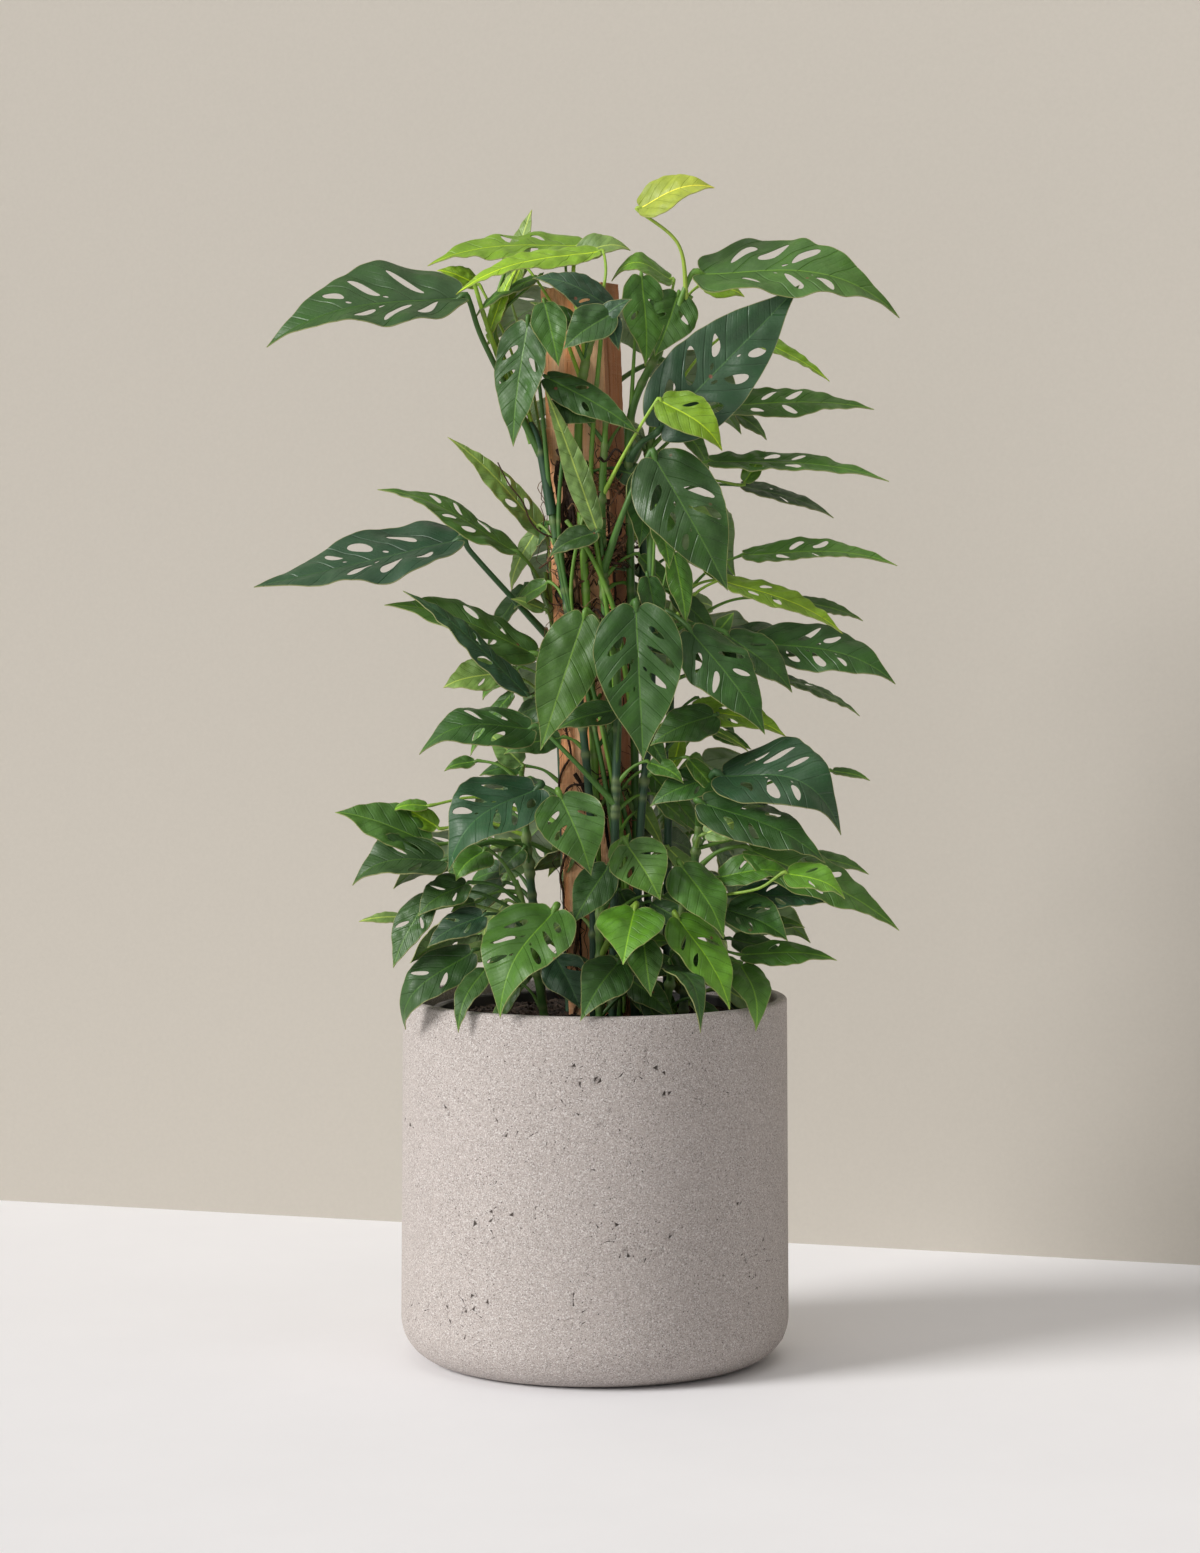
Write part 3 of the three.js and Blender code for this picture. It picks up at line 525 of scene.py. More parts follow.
join_frame(grown("bark_chips", base, group, ids, {"Seed": CHIP_SEED}), None)

# ---------------------------------------------------------------------------------------
# Stake: a length of rough-sawn softwood, turned a little and leaning to the left. The saw
# left upright fibres, shallow cross marks, drying checks and chipped corners.
STAKE_WIDTH = 55
STAKE_DEPTH = 48
STAKE_TURN = math.radians(-18)
STAKE_FOOT_Z = 60
STAKE_TOP_Z = 913
STAKE_X_AT_SOIL = 11
STAKE_LEAN = -0.0386
STAKE_TOP_SLOPE = 5
CORNER_ROUND = 1.2
FIBRE_STEP = 1.55
RISE_STEP = 3.6
SAW_SPACING = 13
FIBRE_DEPTH = 0.55
SAW_DEPTH = 0.14
# Drying checks: column round the post, lowest and highest end, and depth.
CHECKS = [(9, 700, 908, 1.4), (38, 420, 560, 1.2), (60, 520, 700, 1.3), (84, 640, 890, 1.6),
          (118, 500, 800, 1.5)]
CHECK_FADE = 40
CHIP_DEPTH = 3.2
END_INSETS = (0.05, 0.2, 0.4, 0.6, 0.8, 0.96)
# The two wood colours are brighter than the timber's own: partly painted light that makes up for the leaves'
# shade on the post.
TIMBER = srgb(252, 170, 112)
TIMBER_PALE = srgb(255, 208, 162)
# The rough colour is for the face turned away from the lamp: rough fibres darkened with painted shade.
TIMBER_ROUGH_SHADED = srgb(150, 92, 62)
TIMBER_DARK = srgb(116, 64, 38)
# Outward way of the post's face that is turned away from the lamp and given painted shade.
SHADED_FACE_WAY = (0.951, -0.309, 0)


def stretched(tree, place, scale):
    """A place drawn out along some of its ways, for marks that run that way."""
    mapping = lay(tree, "ShaderNodeMapping", {"Scale": scale})
    tree.links.new(place, mapping.inputs["Vector"])
    return mapping.outputs[0]


timber, tree, shader, place = finish_base("rough_timber", 0.82, Specular_IOR_Level=0.25)
upright = stretched(tree, place, (1, 1, 0.055))
broad, _ = add_mottle(tree, upright, 90, 0.36, 0.66)
streak, streak_height = add_mottle(tree, upright, 640, 0.38, 0.66)
dark, _ = add_mottle(tree, upright, 260, 0.54, 0.7)
stain, _ = add_mottle(tree, place, 32, 0.5, 0.66)
tint = blend_colour(tree, broad, TIMBER, TIMBER_PALE)
tint = blend_colour(tree, streak, blend_colour(tree, 0.16, tint, TIMBER_DARK), tint)
for mask, share in ((dark, 0.28), (stain, 0.24)):
    tint = blend_colour(tree, mask, tint, blend_colour(tree, share, tint, TIMBER_DARK))
saw, saw_height = add_mottle(tree, stretched(tree, place, (0.1, 0.1, 1)), 300, 0.56, 0.68)
tint = blend_colour(tree, product(tree, saw, 0.4), tint, TIMBER_PALE)
height_up = lay(tree, "ShaderNodeSeparateXYZ")
toward = lay(tree, "ShaderNodeVectorMath", {1: SHADED_FACE_WAY}, operation="DOT_PRODUCT")
wire(tree, place, height_up.inputs[0], lay(tree, "ShaderNodeTexCoord").outputs["Normal"], toward.inputs[0])
low_part = ramp(tree, height_up.outputs[2], 0.76, 0.62)
tint = blend_colour(tree, product(tree, low_part, 0.16), tint, TIMBER_DARK)
# The face turned away from the lamp is darker: partly rough-sawn fibres, partly painted shade.
fibres, _ = add_mottle(tree, place, 900, 0.44, 0.6)
rough_shaded_tint = blend_colour(tree, product(tree, fibres, 0.5), TIMBER_ROUGH_SHADED, TIMBER_DARK)
shaded_face = ramp(tree, toward.outputs["Value"], 0.45, 0.75)
tint = blend_colour(tree, product(tree, shaded_face, 0.72), tint, rough_shaded_tint)
# Drying checks are darkened: painted shade in the cracks.
tree.links.new(blend_colour(tree, carried(tree, "check_shade"), tint, TIMBER_DARK), shader.inputs["Base Color"])
under_saw = relief(tree, shader, saw_height, 0.0012, 0.5)
relief(tree, shader, streak_height, 0.0018, 0.9, under_saw)


def stake_ring(inset):
    """Points round the post's section, with small rounds at the corners, and their outward ways."""
    a, b, r = STAKE_WIDTH / 2, STAKE_DEPTH / 2, CORNER_ROUND
    spots, ways = [], []
    corners = [(a - r, -b + r, -90), (a - r, b - r, 0), (-a + r, b - r, 90), (-a + r, -b + r, 180)]
    for k, (x, y, start) in enumerate(corners):
        for angle in np.radians([start, start + 45, start + 90]):
            ways.append((math.cos(angle), math.sin(angle)))
            spots.append((x + r * ways[-1][0], y + r * ways[-1][1]))
        nx, ny, _ = corners[(k + 1) % 4]
        way = ways[-1]
        ends = np.array([(x + r * way[0], y + r * way[1]), (nx + r * way[0], ny + r * way[1])])
        count = int(np.linalg.norm(ends[1] - ends[0]) / FIBRE_STEP)
        for share in np.linspace(0, 1, count + 1)[1:-1]:
            spots.append(tuple(ends[0] + (ends[1] - ends[0]) * share))
            ways.append(way)
    spots = np.array(spots) * (1 - inset)
    c, s = math.cos(STAKE_TURN), math.sin(STAKE_TURN)
    turn = np.array([[c, s], [-s, c]])
    return spots @ turn, np.array(ways) @ turn


def stake_spot(x, y, share):
    """A point of the leaning post: place in its section, and its share of the height."""
    top = STAKE_TOP_Z + STAKE_TOP_SLOPE * x / STAKE_WIDTH
    z = STAKE_FOOT_Z + (top - STAKE_FOOT_Z) * share
    return np.array([x + STAKE_X_AT_SOIL + STAKE_LEAN * (z - SOIL_TOP), y, z])


spots, ways = stake_ring(0)
sides = len(spots)
rows = int((STAKE_TOP_Z - STAKE_FOOT_Z) / RISE_STEP)
points, check_shades = [], []
# 0 or 1 on the four sides and between them on the corners, which are chipped.
facing = np.abs(ways @ [math.cos(STAKE_TURN), math.sin(STAKE_TURN)])
for row in range(rows + 1):
    for i, ((x, y), (wx, wy)) in enumerate(zip(spots, ways)):
        point = stake_spot(x, y, row / rows)
        z = point[2]
        sink = FIBRE_DEPTH * abs(noise.noise(Vector((i * 0.9, z / 70, 3)))) * 2
        saw_at = (z + 4 * noise.noise(Vector((i / 30, z / 40, 9)))) / SAW_SPACING
        sink += SAW_DEPTH * (1 + math.sin(2 * math.pi * saw_at))
        deep = 0
        for column, low, high, depth in CHECKS:
            wander = column + 2.2 * noise.noise(Vector((column, z / 55, 1)))
            near = max(0, 1 - abs(i - wander) / 0.9)
            ends = min(1, max(0, (z - low) / CHECK_FADE), max(0, (high - z) / CHECK_FADE))
            deep = max(deep, near * ends)
            sink += depth * near * ends
        if 0.05 < facing[i] < 0.95:
            sink += CHIP_DEPTH * max(0, noise.noise(Vector((i * 3.1, z / 16, 5))) - 0.06)
        point[:2] -= np.array([wx, wy]) * sink
        points.append(point)
        check_shades.append(deep)
faces = ring_faces(rows + 1, sides)
# The sawn ends, closed with rings that shrink to the middle.
for row, order in ((0, -1), (rows, 1)):
    last = [row * sides + i for i in range(sides)]
    for inset in END_INSETS:
        fresh = []
        for i, (x, y) in enumerate(stake_ring(inset)[0]):
            point = stake_spot(x, y, row / rows)
            if row:
                point[2] += 0.9 * noise.noise(Vector((x / 2.5, y / 9, 2))) - 0.3
            fresh.append(len(points))
            points.append(point)
            check_shades.append(0)
        for i in range(sides):
            j = (i + 1) % sides
            faces.append((last[i], last[j], fresh[j], fresh[i])[::order])
        last = fresh
    faces.append(tuple(last)[::order])
make_piece("stake_post", points, faces, "rough_timber", "stake", timber,
           {"check_shade": ("FLOAT", check_shades)}, smooth=50)

# ---------------------------------------------------------------------------------------
# Leaves: thin satin blades with long holes between their side veins, a raised midrib below
# and waved margins. Those that the CAD has too keep its bases, tips, widths and arches.
LEFT = (-0.35, -0.94)
FRONT = (0, -1)
RIGHT = (0.35, -0.94)
BACK = (0, 1)
ROOT_END_Z = 225
BLADE_THICKNESS = 0.8
ARCH_SKEW = 1.35
FOLD = 0.13
MARGIN_DROP = 0.16
OUTLINE = [(0, 0), (-0.035, 0.3), (0.1, 0.84), (0.33, 1), (0.62, 0.72), (0.86, 0.23), (0.95, 0.075), (1, 0)]
OUTLINE_NARROW = [(0, 0), (-0.02, 0.4), (0.16, 0.9), (0.45, 0.96), (0.8, 0.38), (0.93, 0.11), (1, 0)]
OUTLINE_SMALL = [(0, 0), (0.005, 0.3), (0.06, 0.66), (0.36, 1), (0.76, 0.46), (0.92, 0.14), (1, 0)]
SMALL_WIDTH = 32
NARROW_WIDTH = 45
RIBBED_WIDTH = 34
LEAF_STEP = (1.7, 3.0)
# Holes: place along the midrib, side, length across and width along.
HOLES = [(0.33, 1, 0.62, 0.036), (0.45, -1, 0.58, 0.036), (0.25, -1, 0.56, 0.034), (0.49, 1, 0.54, 0.034),
         (0.61, -1, 0.46, 0.031), (0.17, 1, 0.5, 0.03), (0.64, 1, 0.42, 0.029)]
MIDRIB_HOLES = [(0.4, 1, 0.1, 0.012), (0.35, -1, 0.1, 0.012), (0.54, -1, 0.09, 0.011)]
HOLE_POINTS = 20
HOLE_MIDDLE = 0.5
MIDRIB_HOLE_MIDDLE = 0.15
MOST_SLOPE = 0.33
VEIN_SLANT = 0.85
VEIN_BEND = 0.3
VEINS = {1: (0.25, 0.158), -1: (0.35, 0.18)}
RIB_DEPTH = 1.0
RIB_HALF = 1.5
QUILT = 1.25
BUCKLE = 0.14
YOUNGEST_LEAF = ("lime", 784, -89, -20, 872, -64, -24, 929, 17, 30, 3, 0)
INNER_LEAVES = 84
INNER_TONES = ("deep", "deep", "deep", "mid", "mid", "pale")
INNER_LOWEST = 300
INNER_HIGHEST = 790
LEFT_TURNED = ("vine_left_top", "vine_back_top")
FLUTTER = 0.02
SCALLOP = 0.01
WAVE = 0.14
# The lime, new and fresh greens are those of young leaves, made brighter partly as painted light shining
# through the thin blades.
TONES = {"deep": srgb(48, 86, 28), "blue": srgb(42, 80, 50), "mid": srgb(68, 111, 34),
         "fresh": srgb(90, 138, 32), "lime": srgb(124, 164, 28), "new": srgb(150, 166, 62),
         "pale": srgb(118, 150, 76)}
MARGIN_TINT = srgb(170, 166, 104)
UNDER_TINT = srgb(150, 168, 122)
BLEMISH_TINT = srgb(120, 74, 50)


def vein_line(tree, phase, often, half):
    """A thin line wherever a vein's phase is whole; often is how many lines in one step."""
    near = calculate(tree, "PINGPONG", calculate(tree, "ADD", product(tree, phase, often), 100.0), 0.5)
    return ramp(tree, near, half, 0.0)


# A leaf's mesh carries its tone, its under side, the phase of its veins, and a spot: share
# of the length, mm from the midrib, mm from the margin.
leaf_blade, tree, shader, place = finish_base("leaf_blade", 0.36, Specular_IOR_Level=0.55)
tone, phase = carried(tree, "tone", "Color"), carried(tree, "vein")
where = lay(tree, "ShaderNodeSeparateXYZ")
tree.links.new(carried(tree, "spot", "Vector"), where.inputs[0])
cloudy, _ = add_mottle(tree, place, 55, 0.35, 0.65)
fleck, fleck_height = add_mottle(tree, place, 420, 0.4, 0.62)
main_veins = vein_line(tree, phase, 1.0, 0.055)
side_veins = vein_line(tree, phase, 2.0, 0.09)
small_veins = vein_line(tree, phase, 4.0, 0.16)
between = calculate(tree, "PINGPONG", calculate(tree, "ADD", phase, 100.5), 0.5)
tint = blend_colour(tree, cloudy, tone, times(tree, tone, (0.72, 0.76, 0.7)))
# Darker towards the blade's base and lighter towards its tip: painted shade and painted light.
tint = blend_colour(tree, ramp(tree, where.outputs[0], 0.0, 0.9), times(tree, tint, (0.84, 0.86, 0.9)),
                    times(tree, tint, (1.16, 1.12, 1.0)))
# Side veins are darkened, partly their own colour and partly painted shade in the sunk veins; the middles
# between veins are lightened with painted light on the quilted bulges.
for mask, share, factors in (
        (fleck, 0.35, (1.22, 1.2, 1.1)), (small_veins, 0.07, (1.4, 1.35, 1.2)),
        (side_veins, 0.2, (0.62, 0.66, 0.7)), (main_veins, 0.2, (1.7, 1.6, 1.25)),
        (ramp(tree, between, 0.3, 0.0), 0.15, (1.3, 1.22, 1.0))):
    tint = blend_colour(tree, product(tree, mask, share), tint, times(tree, tint, factors))
from_midrib = calculate(tree, "ABSOLUTE", where.outputs[1])
for mask, share, over in (
        (carried(tree, "under"), 0.3, UNDER_TINT),
        (ramp(tree, from_midrib, 0.9, 0.35), 0.8, times(tree, tone, (2.7, 2.1, 1.5))),
        (ramp(tree, where.outputs[2], 0.7, 0.15), 0.5, MARGIN_TINT)):
    tint = blend_colour(tree, product(tree, mask, share), tint, over)
blemish_distance, blemish_pick = cells(tree, place, 62)
blemish = product(tree, ramp(tree, blemish_distance, 0.13, 0.07), ramp(tree, blemish_pick[0], 0.93, 0.95))
gloss = lay(tree, "ShaderNodeMapRange", {3: 0.38, 4: 0.6})
wire(tree, blend_colour(tree, blemish, tint, BLEMISH_TINT), shader.inputs["Base Color"],
     cloudy, gloss.inputs[0], gloss.outputs[0], shader.inputs["Roughness"])
sunk = calculate(tree, "ADD", product(tree, main_veins, 0.8), product(tree, small_veins, 0.14))
relief(tree, shader, calculate(tree, "SUBTRACT", product(tree, fleck_height, 0.5), sunk), 0.0009, 0.7)


def smooth_path(points, steps):
    """A smooth line through points, with steps pieces between each two."""
    p = np.array(points, float)
    t = np.concatenate([[0], np.cumsum(np.linalg.norm(np.diff(p, axis=0), axis=1) ** 0.5)])
    slope = np.empty_like(p)
    slope[1:-1] = (p[2:] - p[:-2]) / (t[2:] - t[:-2])[:, None]
    slope[0], slope[-1] = (p[1] - p[0]) / (t[1] - t[0]), (p[-1] - p[-2]) / (t[-1] - t[-2])
    s = np.linspace(0, 1, steps, endpoint=False)[:, None]
    line = []
    for k in range(len(p) - 1):
        h = t[k + 1] - t[k]
        line.append((2 * s**3 - 3 * s**2 + 1) * p[k] + (s**3 - 2 * s**2 + s) * h * slope[k]
                    + (3 * s**2 - 2 * s**3) * p[k + 1] + (s**3 - s**2) * h * slope[k + 1])
    return np.concatenate(line + [p[-1:]])


def distances(line):
    """How far along a line each of its points lies."""
    return np.concatenate([[0], np.cumsum(np.linalg.norm(np.diff(line, axis=0), axis=1))])


def evenly(line, step):
    """The same line with points a step apart."""
    along = distances(line)
    count = max(2, round(along[-1] / step) + 1)
    at = np.linspace(0, along[-1], count)
    return np.stack([np.interp(at, along, line[:, k]) for k in range(line.shape[1])], 1)


def from_edges(points, starts, ends):
    """Distance of each flat point from the nearest of the edges."""
    way = ends - starts
    reach = points[:, None] - starts[None]
    t = np.clip((reach * way).sum(2) / np.maximum((way**2).sum(1), 1e-9), 0, 1)
    return np.linalg.norm(reach - way * t[..., None], axis=2).min(1)


def enclosed(points, starts, ends):
    """Which flat points lie inside the outline and outside the holes."""
    x, y = points[:, 0:1], points[:, 1:2]
    spans = (starts[:, 1] > y) != (ends[:, 1] > y)
    way = ends - starts
    cross = starts[:, 0] + (y - starts[:, 1]) / (way[:, 1] + 1e-12) * way[:, 0]
    return (spans & (x < cross)).sum(1) % 2 == 1


def leaf_holes(width, length, outline, count, draw):
    """The holes of a leaf as flat loops, slanted along its side veins and a little uneven."""
    half = width / 2
    slope = min(half / length, MOST_SLOPE)
    chosen = [(*hole, HOLE_MIDDLE) for hole in HOLES[:count]]
    if count >= 5 and width >= NARROW_WIDTH:
        chosen += [(*hole, MIDRIB_HOLE_MIDDLE) for hole in MIDRIB_HOLES]
    loops = []
    for at, side, long, wide, middle in chosen:
        room = np.interp(at, [p[0] for p in outline[1:]], [p[1] for p in outline[1:]])
        long, wide = long * draw.uniform(0.72, 1.1), wide * draw.uniform(0.8, 1.3)
        at, egg = at + draw.uniform(-0.012, 0.012), draw.uniform(-0.5, 0.5)
        angle = np.linspace(0, 2 * np.pi, HOLE_POINTS, endpoint=False)
        out = long / 2 * room * np.cos(angle)
        u = at + wide * np.sin(angle) * (1 + egg * np.cos(angle)) + VEIN_SLANT * slope * out
        v = side * (middle * room + out)
        loops.append(np.stack([u * length, v * half], 1))
    return loops


def flat_leaf(width, length, count, draw):
    """A leaf laid flat, in mm: points, triangles, and each point's distance from a margin."""
    half = width / 2
    outline = OUTLINE_NARROW if count or width > SMALL_WIDTH else OUTLINE_SMALL
    if width >= NARROW_WIDTH:
        outline = OUTLINE
    step = min(LEAF_STEP[1], max(LEAF_STEP[0], width * 0.05))
    size = np.array([length, half])
    uneven = draw.uniform(-0.05, 0.05)
    line = evenly(smooth_path(outline, 12) * size, step)
    tip = len(line) - 1
    loop = np.concatenate([line * (1, 1 + uneven), (line * (1, uneven - 1))[::-1][1:-1]])
    loops = [loop] + leaf_holes(width, length, outline, count, draw)
    points, edges = [], []
    for ring in loops:
        first = len(points)
        points += list(ring)
        edges += [(first + i, first + (i + 1) % len(ring)) for i in range(len(ring))]
    starts = np.array([points[a] for a, _ in edges])
    ends = np.array([points[b] for _, b in edges])
    rib = np.stack([np.linspace(0, length, max(4, int(length / step)))[1:-1]] * 2, 1) * (1, 0)
    rib_first = len(points)
    points += list(rib)
    midrib = [0, *range(rib_first, rib_first + len(rib)), tip]
    edges += list(zip(midrib, midrib[1:]))
    fill = []
    if width > RIBBED_WIDTH:
        for side in (1, -1):
            fill += [(x, side * RIB_HALF * (1 - 0.5 * x / length)) for x in rib[:, 0] + step / 2]
    y = step * 0.9 + (RIB_HALF if width > RIBBED_WIDTH else 0)
    row = 0
    while y < half * 1.06:
        xs = np.arange(-0.05 * length + (row % 2) * step / 2, length, step)
        for side in (1, -1):
            fill += [(x + draw.uniform(-0.12, 0.12) * step, side * (y + draw.uniform(-0.1, 0.1) * step))
                     for x in xs]
        y += step * 0.87
        row += 1
    fill = np.array(fill)
    fill = fill[enclosed(fill, starts, ends)]
    fill = fill[from_edges(fill, starts, ends) > step * 0.5]
    points += list(fill)
    flat, _, faces, *_ = delaunay_2d_cdt([Vector(p) for p in points], edges, [], 0, 1e-5, False)
    flat, faces = np.array([tuple(p) for p in flat]), np.array(faces)
    faces = faces[enclosed(flat[faces].mean(1), starts, ends)]
    used = np.unique(faces)
    renumber = np.full(len(flat), -1)
    renumber[used] = np.arange(len(used))
    flat, faces = flat[used], renumber[faces]
    a, b, c = flat[faces[:, 0]], flat[faces[:, 1]], flat[faces[:, 2]]
    outer = len(loop)
    area = (b[:, 0] - a[:, 0]) * (c[:, 1] - a[:, 1]) - (b[:, 1] - a[:, 1]) * (c[:, 0] - a[:, 0])
    faces[area < 0] = faces[area < 0][:, ::-1]
    return flat, faces[np.abs(area) > 1e-7], from_edges(flat, starts[:outer], ends[:outer])


def leaf_space(base, tip, look, tilt):
    """A leaf's run from base to tip, and its across and up ways."""
    run = np.subtract(tip, base, dtype=float)
    along = run / np.linalg.norm(run)
    lean = math.radians(tilt)
    up = np.array([look[0] * math.sin(lean), look[1] * math.sin(lean), math.cos(lean)])
    up -= up @ along * along
    up /= np.linalg.norm(up)
    return run, along, np.cross(up, along), up


def make_leaf(row, look, draw):
    """A whole blade in space: points, faces and the values that its material reads."""
    name, _, *ends, width, tilt, arch, count = row[:12]
    run, _, across, up = leaf_space(ends[:3], ends[3:], look, tilt)
    length, half = float(np.linalg.norm(run)), width / 2
    flat, faces, margin = flat_leaf(width, length, count, draw)
    u, v = flat[:, 0] / length, flat[:, 1] / half
    side, off = np.where(v >= 0, 1, -1), np.abs(v)
    slope = min(half / length, MOST_SLOPE)
    lag = VEIN_SLANT * slope * (off - HOLE_MIDDLE) + VEIN_BEND * slope * v**2
    start, gap = (np.where(side > 0, VEINS[1][k], VEINS[-1][k]) for k in range(2))
    phase = (u - lag - start) / gap
    share = np.clip(u, 0, None) ** ARCH_SKEW
    lift = 4 * arch * share * (1 - share) + half * (FOLD * off - MARGIN_DROP * v**2)
    for way in (1, -1):
        turns, begin, size = draw.uniform(0.8, 1.7), draw.uniform(0, 6.28), draw.uniform(0.4, 1)
        fold = draw.uniform(-0.12, 0.28)
        rise = size * WAVE * off**2.5 * np.sin(2 * np.pi * turns * u + begin) + fold * off
        lift += (side == way) * half * rise
    fade = np.clip(1.1 - u, 0, 1) * np.clip(off * (1.05 - off) * 4, 0, 1)
    valley = np.exp(-(np.abs((phase + 0.5) % 1 - 0.5) / 0.16)**1.3)
    lift -= QUILT * draw.uniform(0.5, 1.1) * min(1, width / 60) * fade * (valley - 0.3)
    seed, reach = draw.uniform(0, 90), 0.55 * half
    buckle = [noise.noise(Vector((x / reach, y / reach, seed))) for x, y in flat]
    lift += BUCKLE * half * np.array(buckle) * np.clip(off * 3, 0, 1)
    flutter = FLUTTER * draw.uniform(0.3, 1.5) * half * off**3
    lift -= flutter * np.cos(2 * np.pi * phase) * np.clip(1 - u, 0, 1)
    lift += draw.uniform(-0.16, 0.16) * half * v * share
    spread = 1 + SCALLOP * off**4 * np.cos(2 * np.pi * (phase + 0.5)) * np.clip(6 * u * (1 - u), 0, 1)
    sway = draw.uniform(-0.05, 0.05) * length * np.clip(u, 0, 1)**2 * (1 - np.clip(u, 0, 1))
    middle = (np.array(ends[:3]) + u[:, None] * run + (half * v * spread + sway)[:, None] * across
              + lift[:, None] * up)
    a, b, c = (middle[faces[:, k]] for k in range(3))
    normal = np.zeros_like(middle)
    for k in range(3):
        np.add.at(normal, faces[:, k], np.cross(b - a, c - a))
    normal /= np.maximum(np.linalg.norm(normal, axis=1), 1e-9)[:, None]
    rib = np.clip(1 - np.abs(flat[:, 1]) / RIB_HALF, 0, 1) * np.clip(1.05 - u, 0, 1)**0.7
    rib *= np.clip(u * 30 + 0.2, 0, 1) * min(1, width / 50)
    top = middle + normal * (BLADE_THICKNESS / 2 - 0.25 * rib)[:, None]
    bottom = middle - normal * (BLADE_THICKNESS / 2 + RIB_DEPTH * rib)[:, None]
    n = len(flat)
    edges = np.concatenate([faces[:, [0, 1]], faces[:, [1, 2]], faces[:, [2, 0]]])
    rim = edges[~np.isin(edges @ [n, 1], edges @ [1, n])]
    everything = [tuple(f) for f in faces.tolist()]
    everything += [(a + n, c + n, b + n) for a, b, c in faces.tolist()]
    everything += [(a, a + n, b + n, b) for a, b in rim.tolist()]
    tint = np.array(TONES[name]) * draw.uniform(0.84, 1.26)
    tint *= [draw.uniform(0.92, 1.08), 1, draw.uniform(0.88, 1.14), 1]
    tint[3] = 1
    return np.concatenate([top, bottom]), everything, {
        "tone": np.tile(tint, (2 * n, 1)),
        "spot": np.tile(np.stack([u, flat[:, 1], margin], 1), (2, 1)),
        "vein": np.tile(phase, 2),
        "under": np.repeat([0.0, 1.0], n),
    }


